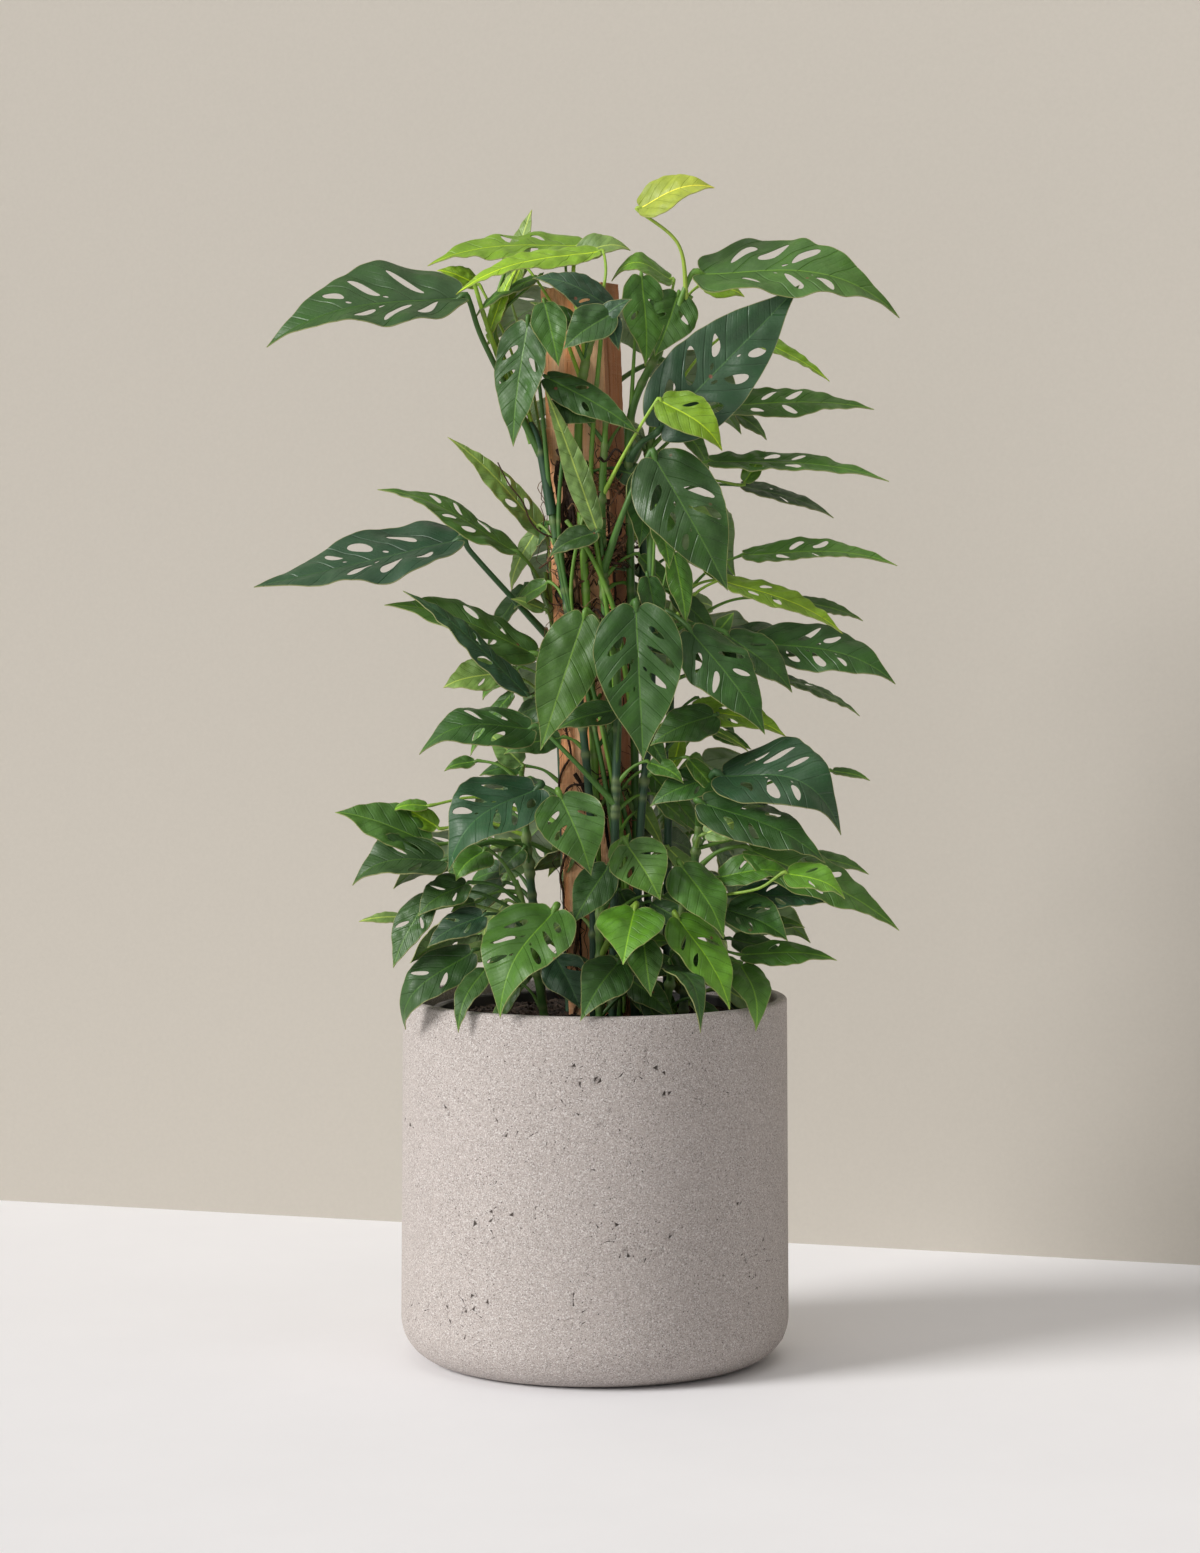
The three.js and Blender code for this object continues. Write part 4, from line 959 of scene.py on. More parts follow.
# A stem's route runs upwards from its root end. A leaf's row: its tone, the height where its
# stalk leaves the stem, base and tip of the blade, width, tilt, arch, number of holes and,
# for some, a point that its stalk bends through.
VINES = {
    "vine_left_top": dict(look=LEFT, route=[
        [-1, -42, ROOT_END_Z], [-3, -43, 450], [-17, -41, 600], [-31, -33, 690], [-40, -28, 745],
        [-49, -26, 786]
    ], leaves=[
        ("deep", 770, -114, -32, 901, -274, -50, 859, 98, 40, 18, 6, [-94, -30, 866]),
        ("pale", 740, -73, 36, 913, -54, 42, 982, 26, 68, 3, 0),
        ("lime", 750, -100, 6, 915, -134, 4, 927, 22, 50, 3, 0),
        ("mid", 760, -47, -22, 920, -101, -26, 884, 24, 20, 6, 0, [-84, -20, 872]),
        ("deep", 730, -56, -52, 878, -68, -60, 776, 48, 68, 6, 3),
    ]),
    "vine_crown": dict(look=FRONT, route=[
        [6, -33, ROOT_END_Z], [0, -34, 500], [-9, -34, 680], [-14, -34, 770], [-10, -36, 835], [2, -37, 886]
    ], leaves=[
        ("lime", 850, -14, 14, 949, -142, 6, 931, 52, 26, 9, 3, [-18, -36, 924]),
        ("lime", 884, 4, -22, 941, -116, -46, 903, 32, 34, 11, 0, [9, -38, 920]),
        ("pale", 860, -16, -8, 938, 30, -6, 943, 32, 44, 8, 0, [-24, -36, 922]),
        ("blue", 878, 14, -48, 892, -52, -54, 916, 35, 48, 9, 1),
        ("deep", 870, 14, -62, 886, -26, -72, 856, 37, 62, 5, 0),
        ("mid", 846, -42, -58, 896, -30, -68, 842, 30, 62, 5, 0),
        ("blue", 872, 2, -58, 880, 31, -64, 898, 18, 62, 3, 0),
        ("blue", 866, 12, -60, 886, 20, -70, 855, 18, 66, 3, 0),
        ("deep", 840, -8, -42, 872, -54, -40, 897, 22, 58, 4, 0),
        ("lime", 830, -62, -14, 930, -84, -18, 876, 13, 70, 2, 0),
    ]),
    "vine_front_top": dict(look=FRONT, route=[
        [22, -38, ROOT_END_Z], [15, -38, 500], [6, -38, 705], [9, -39, 800]
    ], leaves=[
        ("lime", 735, 55, -58, 814, 106, -68, 772, 40, 50, 10, 1, [30, -52, 780]),
        ("deep", 672, 50, -66, 766, 110, -94, 656, 72, 66, 10, 5, [24, -62, 722]),
        ("pale", 700, 2, -50, 706, -42, -56, 825, 22, 62, 5, 0),
        ("deep", 680, 2, -52, 705, -38, -54, 684, 26, 50, 6, 0),
        ("deep", 800, -40, -48, 834, 37, -58, 786, 32, 62, 6, 2),
        ("deep", 780, -34, -44, 817, 1, -48, 796, 34, 66, 3, 0),
    ]),
    "vine_right_top": dict(look=RIGHT, route=[
        [39, -25, ROOT_END_Z], [34, -26, 500], [29, -28, 740], [31, -29, 806], [54, -27, 858], [81, -21, 904]
    ], leaves=[
        ("new", 898, 38, -34, 976, 100, -42, 992, 42, 52, 11, 0, [70, -31, 946]),
        ("fresh", 870, 64, -4, 919, 14, -8, 917, 34, 40, 18, 0),
        ("mid", 880, 90, -24, 922, 255, -40, 884, 80, 38, 25, 6),
        ("lime", 880, 92, 4, 914, 127, 8, 905, 24, 50, 4, 0),
        ("mid", 850, 70, -22, 905, 50, -38, 852, 44, 62, 5, 2),
        ("mid", 800, 39, -32, 919, 42, -40, 844, 40, 72, 5, 2),
        ("blue", 765, 55, -46, 792, 171, -52, 911, 74, 64, 6, 6),
    ]),
    "vine_right_upper": dict(look=RIGHT, route=[
        [48, -6, ROOT_END_Z], [44, -6, 450], [41, -8, 640], [42, -8, 740], [48, -6, 795]
    ], leaves=[
        ("lime", 785, 120, 14, 878, 200, 16, 834, 25, 45, 4, 1),
        ("mid", 775, 106, -4, 812, 236, -12, 809, 42, 36, 6, 4),
        ("mid", 765, 120, 6, 806, 146, 8, 784, 22, 50, 3, 0),
        ("mid", 735, 99, -14, 765, 248, -22, 748, 38, 28, 8, 4),
        ("deep", 720, 126, 18, 745, 204, 22, 718, 30, 34, 5, 2),
        ("fresh", 735, 127, 4, 748, 145, 6, 775, 16, 60, 2, 0),
    ]),
    "vine_right_front": dict(look=RIGHT, route=[
        [32, -45, ROOT_END_Z], [38, -46, 450], [47, -46, 560], [47, -48, 690], [44, -50, 745]
    ], leaves=[
        ("deep", 720, 42, -46, 756, 37, -52, 692, 36, 76, 4, 0),
        ("deep", 640, 80, -70, 622, 141, -90, 537, 58, 60, 8, 4),
        ("deep", 620, 112, -48, 618, 165, -58, 571, 46, 56, 6, 3),
        ("deep", 500, 100, -62, 552, 46, -76, 527, 42, 50, 8, 0),
        ("lime", 530, 82, -46, 556, 160, -56, 534, 40, 44, 8, 2),
        ("mid", 600, 66, -52, 688, 76, -60, 628, 24, 76, 3, 0),
        ("mid", 640, 52, -62, 724, 62, -68, 674, 24, 72, 3, 0),
        ("deep", 560, 44, -62, 668, 52, -72, 620, 26, 70, 3, 0),
    ]),
    "vine_right_mid": dict(look=RIGHT, route=[
        [60, -26, ROOT_END_Z], [62, -26, 450], [64, -24, 580], [66, -20, 650]
    ], leaves=[
        ("mid", 640, 128, -6, 686, 256, -14, 677, 36, 30, 9, 4),
        ("lime", 630, 108, -30, 664, 208, -42, 620, 36, 30, 8, 3),
        ("mid", 620, 168, 12, 648, 229, 14, 630, 20, 36, 3, 0),
        ("deep", 600, 139, -12, 612, 254, -26, 577, 56, 40, 14, 5),
        ("deep", 590, 114, 16, 616, 211, 22, 593, 46, 44, 10, 2),
        ("mid", 580, 160, 6, 582, 226, 8, 549, 24, 22, 4, 1),
        ("fresh", 645, 106, -14, 668, 82, -20, 682, 16, 60, 2, 0),
        ("mid", 540, 100, -24, 536, 132, -30, 522, 16, 50, 2, 0),
        ("mid", 590, 104, -34, 622, 117, -38, 638, 14, 70, 2, 0),
        ("pale", 500, 96, -40, 541, 129, -46, 521, 10, 50, 2, 0),
        ("lime", 470, 72, -40, 534, 63, -44, 500, 16, 74, 2, 0),
    ]),
    "vine_centre": dict(look=FRONT, route=[
        [14, -58, ROOT_END_Z], [17, -57, 458], [19, -56, 560], [17, -57, 625]
    ], leaves=[
        ("mid", 600, -9, -78, 634, -45, -98, 524, 52, 68, 6, 0),
        ("deep", 610, 34, -80, 641, 40, -106, 516, 74, 74, 7, 6),
        ("deep", 500, 18, -66, 557, -32, -70, 540, 28, 50, 5, 1),
        ("deep", 477, -54, -64, 541, -146, -80, 520, 58, 44, 21, 4, [-25, -68, 522]),
    ]),
    "vine_left_mid": dict(look=LEFT, route=[
        [-20, 14, ROOT_END_Z], [-25, 14, 400], [-33, 10, 600], [-42, 2, 672]
    ], leaves=[
        ("pale", 624, -43, -8, 704, -125, -4, 786, 26, 40, 8, 3),
        ("mid", 640, -70, -20, 690, -183, -28, 741, 48, 22, 9, 5),
        ("blue", 610, -117, -34, 698, -286, -46, 659, 88, 30, 0, 6, [-104, -30, 688]),
        ("mid", 585, -53, -42, 604, -176, -56, 644, 60, 38, 10, 4),
        ("blue", 545, -58, -92, 572, -158, -104, 656, 36, 26, 6, 2),
        ("pale", 550, -82, -20, 586, -128, -26, 574, 36, 54, 4, 1),
        ("pale", 600, -43, -16, 640, -71, -20, 649, 14, 60, 2, 0),
    ]),
    "vine_left_low": dict(look=LEFT, route=[
        [-38, -34, ROOT_END_Z], [-46, -38, 330], [-58, -44, 450], [-62, -46, 505]
    ], leaves=[
        ("blue", 490, -49, -76, 491, -121, -106, 424, 78, 52, 26, 6),
        ("pale", 500, -62, -30, 510, -91, -30, 537, 24, 60, 3, 0),
        ("mid", 430, -140, -64, 446, -217, -68, 471, 48, 46, 6, 0),
        ("deep", 440, -126, -84, 432, -201, -94, 412, 62, 46, 16, 3),
        ("lime", 450, -132, -54, 458, -162, -50, 474, 20, 60, 3, 0),
        ("deep", 420, -60, -58, 440, -80, -62, 418, 24, 60, 3, 0),
        ("mid", 495, -101, -36, 512, -127, -38, 504, 14, 50, 3, 0),
        ("fresh", 470, -140, -58, 476, -170, -60, 471, 16, 50, 5, 0),
    ]),
    "vine_left_base": dict(look=LEFT, route=[
        [-34, -62, ROOT_END_Z], [-44, -68, 310], [-58, -74, 385], [-66, -76, 415]
    ], leaves=[
        ("mid", 410, -92, -84, 440, -115, -96, 416, 40, 58, 6, 0),
        ("deep", 395, -106, -92, 413, -146, -102, 387, 40, 46, 6, 2),
        ("deep", 385, -138, -90, 402, -167, -100, 344, 34, 62, 5, 2),
        ("blue", 370, -92, -106, 388, -138, -116, 362, 34, 56, 6, 2),
        ("mid", 350, -34, -116, 392, -77, -156, 309, 78, 56, 22, 6),
        ("deep", 345, -102, -90, 356, -158, -78, 290, 42, 58, 26, 2),
        ("deep", 340, -90, -104, 344, -112, -134, 294, 26, 58, 12, 0),
        ("mid", 405, -100, -72, 396, -120, -74, 388, 18, 46, 2, 0),
        ("pale", 380, -160, -72, 384, -197, -74, 380, 14, 40, 2, 0),
    ]),
    "vine_centre_low": dict(look=FRONT, route=[
        [2, -76, ROOT_END_Z], [4, -78, 300], [4, -80, 380], [2, -80, 425]
    ], leaves=[
        ("mid", 400, -28, -107, 486, -3, -131, 423, 58, 60, 12, 3),
        ("deep", 390, 11, -88, 427, -18, -98, 380, 34, 66, 5, 0),
        ("mid", 380, 27, -102, 446, 54, -124, 402, 50, 62, 7, 3),
        ("deep", 345, 19, -122, 350, -12, -168, 307, 42, 60, 12, 0),
        ("fresh", 350, 33, -108, 393, 23, -156, 352, 56, 58, 8, 0),
        ("blue", 340, -32, -100, 352, -12, -124, 312, 38, 64, 6, 1),
        ("mid", 330, 40, -112, 368, 46, -138, 324, 30, 66, 5, 0),
        ("fresh", 410, 14, -84, 432, 29, -86, 455, 14, 66, 2, 0),
    ]),
    "vine_right_low": dict(look=RIGHT, route=[
        [72, -42, ROOT_END_Z], [76, -46, 330], [84, -52, 430], [90, -54, 480]
    ], leaves=[
        ("deep", 475, 100, -62, 500, 46, -72, 476, 34, 50, 8, 2),
        ("blue", 480, 106, -68, 502, 204, -94, 454, 82, 44, 34, 6),
        ("deep", 460, 90, -92, 480, 190, -116, 432, 58, 52, 12, 4),
        ("pale", 440, 92, -80, 454, 133, -84, 468, 26, 56, 4, 1),
        ("mid", 420, 130, -74, 440, 253, -88, 374, 50, 38, 8, 4),
        ("mid", 440, 176, -48, 434, 230, -52, 418, 24, 40, 3, 0),
        ("mid", 410, 104, -84, 418, 165, -84, 419, 32, 44, 8, 1),
        ("mid", 450, 200, -36, 504, 232, -36, 496, 12, 40, 2, 0),
    ]),
    "vine_right_base": dict(look=RIGHT, route=[
        [48, -68, ROOT_END_Z], [58, -74, 300], [68, -78, 360], [74, -80, 400]
    ], leaves=[
        ("mid", 395, 72, -98, 428, 106, -120, 370, 46, 62, 8, 0),
        ("fresh", 360, 69, -104, 385, 111, -126, 312, 50, 62, 10, 3),
        ("deep", 380, 110, -86, 391, 160, -98, 366, 44, 52, 6, 4),
        ("fresh", 400, 158, -122, 424, 205, -132, 404, 36, 46, 8, 2, [132, -112, 410]),
        ("blue", 385, 120, -72, 401, 198, -80, 396, 34, 36, 4, 3),
        ("mid", 350, 124, -70, 352, 202, -78, 348, 30, 42, 6, 1),
        ("deep", 330, 66, -96, 356, 106, -104, 322, 32, 58, 6, 0),
        ("deep", 330, 60, -108, 347, 86, -162, 297, 30, 60, 24, 0),
        ("mid", 340, 122, -76, 344, 133, -110, 292, 34, 62, 14, 0),
        ("mid", 390, 140, -60, 376, 176, -62, 374, 16, 40, 3, 0),
    ]),
    "vine_back_top": dict(look=BACK, route=[
        [10, 36, ROOT_END_Z], [2, 36, 500], [-8, 36, 760], [-12, 36, 850]
    ], leaves=[
        ("deep", 845, -30, 62, 908, -96, 120, 870, 60, 40, 12, 2),
        ("mid", 835, 22, 66, 900, 58, 150, 850, 66, 44, 14, 2),
        ("deep", 800, 60, 48, 850, 128, 100, 792, 66, 44, 12, 2),
        ("mid", 780, -24, 62, 820, -34, 146, 752, 64, 50, 12, 2),
        ("deep", 750, 10, 76, 800, 6, 156, 724, 70, 50, 12, 2),
    ]),
    "vine_back_mid": dict(look=BACK, route=[
        [32, 34, ROOT_END_Z], [28, 38, 450], [22, 40, 600], [16, 40, 680]
    ], leaves=[
        ("mid", 670, 66, 66, 726, 124, 130, 668, 68, 46, 12, 2),
        ("deep", 650, -22, 76, 704, -44, 150, 634, 60, 50, 12, 2),
        ("mid", 620, 20, 86, 660, 26, 170, 590, 72, 50, 14, 2),
        ("deep", 580, 82, 58, 626, 156, 108, 576, 60, 44, 12, 2),
        ("deep", 560, -34, 68, 600, -62, 138, 542, 56, 50, 12, 2),
        ("mid", 540, -4, 92, 566, -20, 168, 486, 68, 54, 12, 2),
    ]),
    "vine_back_low": dict(look=BACK, route=[
        [-14, 44, ROOT_END_Z], [-20, 52, 340], [-26, 58, 430], [-28, 60, 470]
    ], leaves=[
        ("deep", 465, -60, 72, 488, -108, 122, 430, 58, 50, 12, 2),
        ("mid", 440, -46, 98, 452, -84, 166, 388, 66, 54, 12, 2),
        ("deep", 420, -96, 44, 436, -176, 70, 396, 60, 44, 12, 2),
        ("mid", 390, 0, 110, 420, 4, 172, 352, 62, 58, 10, 2),
        ("mid", 360, -70, 92, 372, -126, 132, 330, 52, 54, 14, 2),
        ("mid", 340, -96, 30, 362, -160, 40, 334, 44, 50, 10, 2),
    ]),
    "vine_back_right": dict(look=BACK, route=[
        [44, 50, ROOT_END_Z], [50, 58, 340], [58, 62, 430], [62, 64, 480]
    ], leaves=[
        ("mid", 475, 92, 84, 508, 156, 128, 450, 66, 48, 12, 2),
        ("deep", 455, 52, 104, 478, 82, 174, 414, 64, 54, 12, 2),
        ("mid", 430, 116, 54, 446, 196, 84, 404, 60, 42, 12, 2),
        ("deep", 390, 84, 94, 404, 132, 142, 344, 58, 54, 14, 2),
        ("mid", 370, 116, 22, 384, 186, 34, 352, 46, 42, 10, 2),
        ("mid", 340, 36, 112, 366, 54, 160, 322, 46, 60, 12, 2),
    ]),
}


def stem_at(line, z):
    """The point of a stem's line at a height."""
    return np.array([np.interp(z, line[:, 2], line[:, k]) for k in range(2)] + [z])


# Small leaves without holes between the others, near the stems, so that the plant is dense.
draw = random.Random(31)
for _ in range(INNER_LEAVES):
    vine_name = draw.choice(list(VINES))
    vine = VINES[vine_name]
    z = draw.uniform(INNER_LOWEST, min(INNER_HIGHEST, vine["route"][-1][2] - 15))
    turn = draw.uniform(1.0, 2.7)
    if vine["route"][0][0] < 0 or vine_name in LEFT_TURNED:
        turn = -draw.uniform(1.5, 2.7)
    stem_x, stem_y, _ = stem_at(np.array(vine["route"]), z)
    out, long = draw.uniform(18, 42), draw.uniform(34, 62)
    base_x, base_y = stem_x + out * math.sin(turn), stem_y - out * math.cos(turn)
    vine["leaves"].append((
        draw.choice(INNER_TONES), z, base_x, base_y, z + draw.uniform(6, 28),
        base_x + 0.8 * long * math.sin(turn), base_y - 0.8 * long * math.cos(turn), z + draw.uniform(-38, 8),
        long * draw.uniform(0.38, 0.52), draw.uniform(40, 66), draw.uniform(2, 8), 0))

VINES["vine_left_top"]["leaves"].append(YOUNGEST_LEAF)

kinds = {"tone": "FLOAT_COLOR", "spot": "FLOAT_VECTOR", "vein": "FLOAT", "under": "FLOAT"}
for vine_name, vine in VINES.items():
    draw = random.Random(vine_name)
    points, faces, values = [], [], {label: [] for label in kinds}
    for row in vine["leaves"]:
        own, own_faces, own_values = make_leaf(row, vine["look"], draw)
        first = sum(len(p) for p in points)
        points.append(own)
        faces += [tuple(first + i for i in face) for face in own_faces]
        for label, data in own_values.items():
            values[label].append(data)
    make_piece(vine_name + "_leaves", np.concatenate(points), faces, "leaf", vine_name, leaf_blade,
               {label: (kinds[label], np.concatenate(data)) for label, data in values.items()}, smooth=60)

# ---------------------------------------------------------------------------------------
# Stems and stalks: the climbing stems stand round the stake, ringed where leaves leave
# them. Each leaf's stalk springs from a ring, thins and ends in a swollen knee at the blade.
STEM_RADIUS = 3.5
STALK_RADIUS = 1.75
KNEE_LENGTH = 7
STALK_BEND = 0.5
STALK_RISE = 0.12
STALK_THICKNESS = (1.75, 1.45, 1.02, 0.95)
NODE_SPACING = 58
TIP_FADE = 50
NEW_GROWTH = 110
STEM_SIDES = 10
# Teal and green are darker than the stems' own colour: partly painted shade from the leaves over them.
STEM_TINTS = {"teal": srgb(44, 74, 52), "green": srgb(68, 108, 46), "bright": srgb(104, 146, 52),
              "lime": srgb(142, 178, 58)}
STEM_KINDS = {"vine_crown": "bright", "vine_front_top": "green", "vine_centre_low": "green",
              "vine_right_top": "green", "vine_left_base": "green", "vine_right_base": "green"}
STALK_TINTS = {"deep": srgb(70, 108, 46), "blue": srgb(62, 98, 58), "mid": srgb(96, 136, 52),
               "fresh": srgb(134, 168, 62), "lime": srgb(150, 186, 66), "new": srgb(168, 196, 78),
               "pale": srgb(124, 156, 76)}
RING_TINT = srgb(120, 136, 82)

green_stem, tree, shader, place = finish_base("green_stem", 0.46, Specular_IOR_Level=0.4)
tone = carried(tree, "tone", "Color")
lines, lines_height = add_mottle(tree, stretched(tree, place, (1, 1, 0.12)), 620, 0.35, 0.65)
patches, _ = add_mottle(tree, place, 70, 0.42, 0.62)
tint = blend_colour(tree, product(tree, lines, 0.6), tone, times(tree, tone, (0.7, 0.74, 0.7)))
tint = blend_colour(tree, product(tree, patches, 0.5), tint, times(tree, tint, (1.25, 1.2, 1.0)))
tint = blend_colour(tree, product(tree, carried(tree, "ring"), 0.7), tint, RING_TINT)
tree.links.new(tint, shader.inputs["Base Color"])
relief(tree, shader, lines_height, 0.0005, 0.5)


def sweep_tree(name, material):
    """A Geometry Nodes tree that sweeps a round section along drawn lines of edges."""
    group, into, out, ids = shape_tree(name, [
        ("Sides", "NodeSocketInt", STEM_SIDES), ("Thickness", "NodeSocketFloat", 1.0)])
    to_curve = lay(group, "GeometryNodeMeshToCurve")
    section = lay(group, "GeometryNodeCurvePrimitiveCircle", {"Radius": 1})
    own = lay(group, "GeometryNodeInputNamedAttribute", {"Name": "thick"}, data_type="FLOAT")
    scale = lay(group, "ShaderNodeMath", operation="MULTIPLY")
    sweep = lay(group, "GeometryNodeCurveToMesh", {"Fill Caps": True})
    smooth = lay(group, "GeometryNodeSetShadeSmooth")
    real = lay(group, "GeometryNodeRealizeInstances")
    coat = lay(group, "GeometryNodeSetMaterial", {"Material": material})
    chain(group, into, to_curve, sweep, smooth, real, coat, out)
    wire(group, into.outputs["Sides"], section.inputs["Resolution"],
         own.outputs[0], scale.inputs[0],
         into.outputs["Thickness"], scale.inputs[1],
         section.outputs[0], sweep.inputs["Profile Curve"],
         scale.outputs[0], sweep.inputs["Scale"])
    return group, ids


def cord(path, thick, tint, rings=None):
    """A line to sweep: its points, and its thickness, colour and rings at each point."""
    return path, thick * MM, np.tile(tint, (len(path), 1)), np.zeros(len(path)) if rings is None else rings


def drawn_lines(name, lines):
    """Open lines as edges, with thickness, colour and ring values at their points."""
    mesh = bpy.data.meshes.new(name)
    edges, first = [], 0
    for line, *_ in lines:
        edges += [(first + i, first + i + 1) for i in range(len(line) - 1)]
        first += len(line)
    points, *values = (np.concatenate(each) for each in zip(*lines))
    mesh.from_pydata((points * MM).tolist(), edges, [])
    for (label, kind, field), data in zip((("thick", "FLOAT", "value"), ("tone", "FLOAT_COLOR", "color"),
                                           ("ring", "FLOAT", "value")), values):
        mesh.attributes.new(label, kind, "POINT").data.foreach_set(field, np.float32(data).ravel())
    return mesh


def stem_line(route, leaf_heights):
    """A stem's line, thickness, and the rings where its leaves leave it."""
    line = evenly(smooth_path(route, 16), 2.2)
    thick = np.full(len(line), STEM_RADIUS)
    rings = np.zeros(len(line))
    nodes = [(z - 3, 2.6, 0.9, 1) for z in leaf_heights]
    nodes += [(z, 2.2, 0.45, 0.8) for z in np.arange(250, line[-1, 2], NODE_SPACING)]
    for z, long, swell, mark in nodes:
        near = np.exp(-((line[:, 2] - z) / long) ** 2)
        thick += swell * near
        rings = np.maximum(rings, mark * near)
    thick *= np.interp(line[:, 2], [line[-1, 2] - TIP_FADE, line[-1, 2]], [1, 0.62])
    return line, thick, rings


def stalk_line(row, look, line):
    """A stalk from its ring on the stem over its bend and knee into the blade's base."""
    _, z, *ends, width, tilt = row[:10]
    _, along, _, up = leaf_space(ends[:3], ends[3:], look, tilt)
    seat = np.array(ends[:3], float)
    knee = seat - along * (KNEE_LENGTH if width >= NARROW_WIDTH else 3)
    root = stem_at(line, z)
    if len(row) > 12:
        bend = np.array(row[12], float)
    else:
        bend = knee + (root - knee) * STALK_BEND
        bend[2] += STALK_RISE * np.linalg.norm(knee - root)
    path = evenly(smooth_path([root, bend, knee, seat, seat + along * 5 - up * 0.9], 14), 2.4)
    span = distances(path)
    size = STALK_RADIUS * min(1.35, max(0.7, width / 52))
    thick = size * np.interp(span, [0, 12, span[-1] * 0.45, span[-1]], STALK_THICKNESS)
    knee_at = span[-1] - (KNEE_LENGTH + 3 if width >= NARROW_WIDTH else 7)
    thick += 0.42 * size * np.exp(-((span - knee_at) / 4.5) ** 2)
    thick *= np.interp(span, [span[-1] - 6, span[-1]], [1, 0.3])
    return path, thick


# Young shoots without leaves: tint, radius and route.
SHOOTS = {
    "vine_left_top": [
        ("teal", 4.6, [(-36, -31, 720), (-44, -28, 765), (-50, -26, 788), (-55, -25, 797)]),
        ("lime", 2.7, [(-52, -22, 784), (-62, -22, 806), (-77, -24, 840), (-92, -26, 883), (-101, -28, 913)]),
        ("bright", 2.3, [(-54, -16, 780), (-66, -16, 820), (-76, -16, 850), (-86, -16, 880), (-83, -16, 902),
                         (-76, -18, 924)])],
    "vine_crown": [
        ("bright", 2.6, [(34, -34, 300), (22, -38, 430), (15, -43, 600), (-3, -41, 740), (6, -42, 880)])],
    "vine_front_top": [
        ("green", 2.4, [(12, -38, 300), (16, -40, 440), (-8, -43, 580), (-30, -40, 700), (-24, -42, 800)]),
        ("bright", 2.0, [(24, -38, 300), (26, -42, 420), (4, -46, 550), (-20, -42, 650), (-4, -42, 745)])],
    "vine_right_front": [
        ("green", 2.3, [(40, -34, 300), (32, -36, 430), (2, -46, 560), (-22, -42, 640), (-34, -38, 700)]),
        ("bright", 2.6, [(30, -38, 560), (16, -46, 640), (-6, -46, 690), (-24, -42, 715)])],
}
sweep_green, sweep_ids = sweep_tree("sweep_green", green_stem)
for vine_name, vine in VINES.items():
    draw = random.Random(vine_name + " stems")
    kind = STEM_KINDS.get(vine_name, "teal")
    line, thick, rings = stem_line(vine["route"], [row[1] for row in vine["leaves"]])
    fresh = np.interp(line[:, 2], [line[-1, 2] - NEW_GROWTH, line[-1, 2]], [0, 0.8])[:, None]
    tint = np.array(STEM_TINTS[kind]) * (1 - fresh) + np.array(STEM_TINTS["bright"]) * fresh
    lines = [(line, thick * MM, tint, rings)]
    for row in vine["leaves"]:
        lines.append(cord(*stalk_line(row, vine["look"], line),
                          np.array(STALK_TINTS[row[0]]) * draw.uniform(0.88, 1.12)))
    for shade, radius, route in SHOOTS.get(vine_name, []):
        path, _, rings = stem_line(route, [])
        thick = radius * np.linspace(1, 0.7, len(path)) * (1 + 0.16 * rings)
        lines.append(cord(path, thick, STEM_TINTS[shade], rings))
    base = drawn_lines(vine_name + "_lines", lines)
    piece = grown(vine_name + "_stems", base, sweep_green, sweep_ids, {"Sides": STEM_SIDES, "Thickness": 1.0})
    join_frame(piece, vine_name)

# ---------------------------------------------------------------------------------------
# Aerial roots: dry brown cords that leave the stems, run down the stake and wrap round
# it in mats, with fine hairs between. They hold the stems to the wood.
ROOT_SIDES = 6
ROOT_TINTS = (srgb(98, 72, 52), srgb(72, 52, 40), srgb(132, 102, 74), srgb(58, 44, 36))
# Roots down the stake: place across and height of the upper end in mm, length and radius.
ROOTS = [
    (-40.279, 775.585, 260, 2.7), (-33.423, 761.873, 210, 2.3), (-23.139, 777.299, 190, 2.0),
    (-28.281, 749.875, 160, 2.4), (-36.851, 765.301, 150, 2.0), (-20.568, 768.729, 90, 2.2),
    (-17.140, 698.455, 150, 1.9), (7.713, 732.735, 130, 1.6), (-24.853, 629.895, 200, 1.7),
    (-4.285, 612.755, 160, 1.5), (-17.997, 501.345, 180, 2.0), (-29.995, 484.205, 150, 1.7),
    (7.713, 492.775, 160, 1.6), (-23.139, 407.075, 150, 2.0), (0.857, 407.075, 130, 1.5)]
ROOT_REACH = 30
ROOT_MOST_TURN = 0.8
ROOT_LOWEST = 280
# Mats round the stake: height, how many cords, and their spread up and down.
MATS = [(686, 44, 8), (640, 26, 9), (600, 10, 12), (484, 16, 13), (752, 14, 16)]
HAIRS = 90
HAIR_HEIGHTS = (330, 800)
LOOSE_ROOT = [(-82, -20, 764), (-72, -26, 745), (-61, -31, 731), (-54, -32, 714), (-44, -30, 704),
              (-30, -27, 700)]
LOOSE_ROOT_RADIUS = 0.8

root_cord, tree, shader, place = finish_base("root_cord", 0.85, Specular_IOR_Level=0.2)
tone = carried(tree, "tone", "Color")
rough, rough_height = add_mottle(tree, place, 500, 0.35, 0.65)
tint = blend_colour(tree, rough, tone, times(tree, tone, (0.55, 0.52, 0.5)))
tree.links.new(tint, shader.inputs["Base Color"])
relief(tree, shader, rough_height, 0.001)


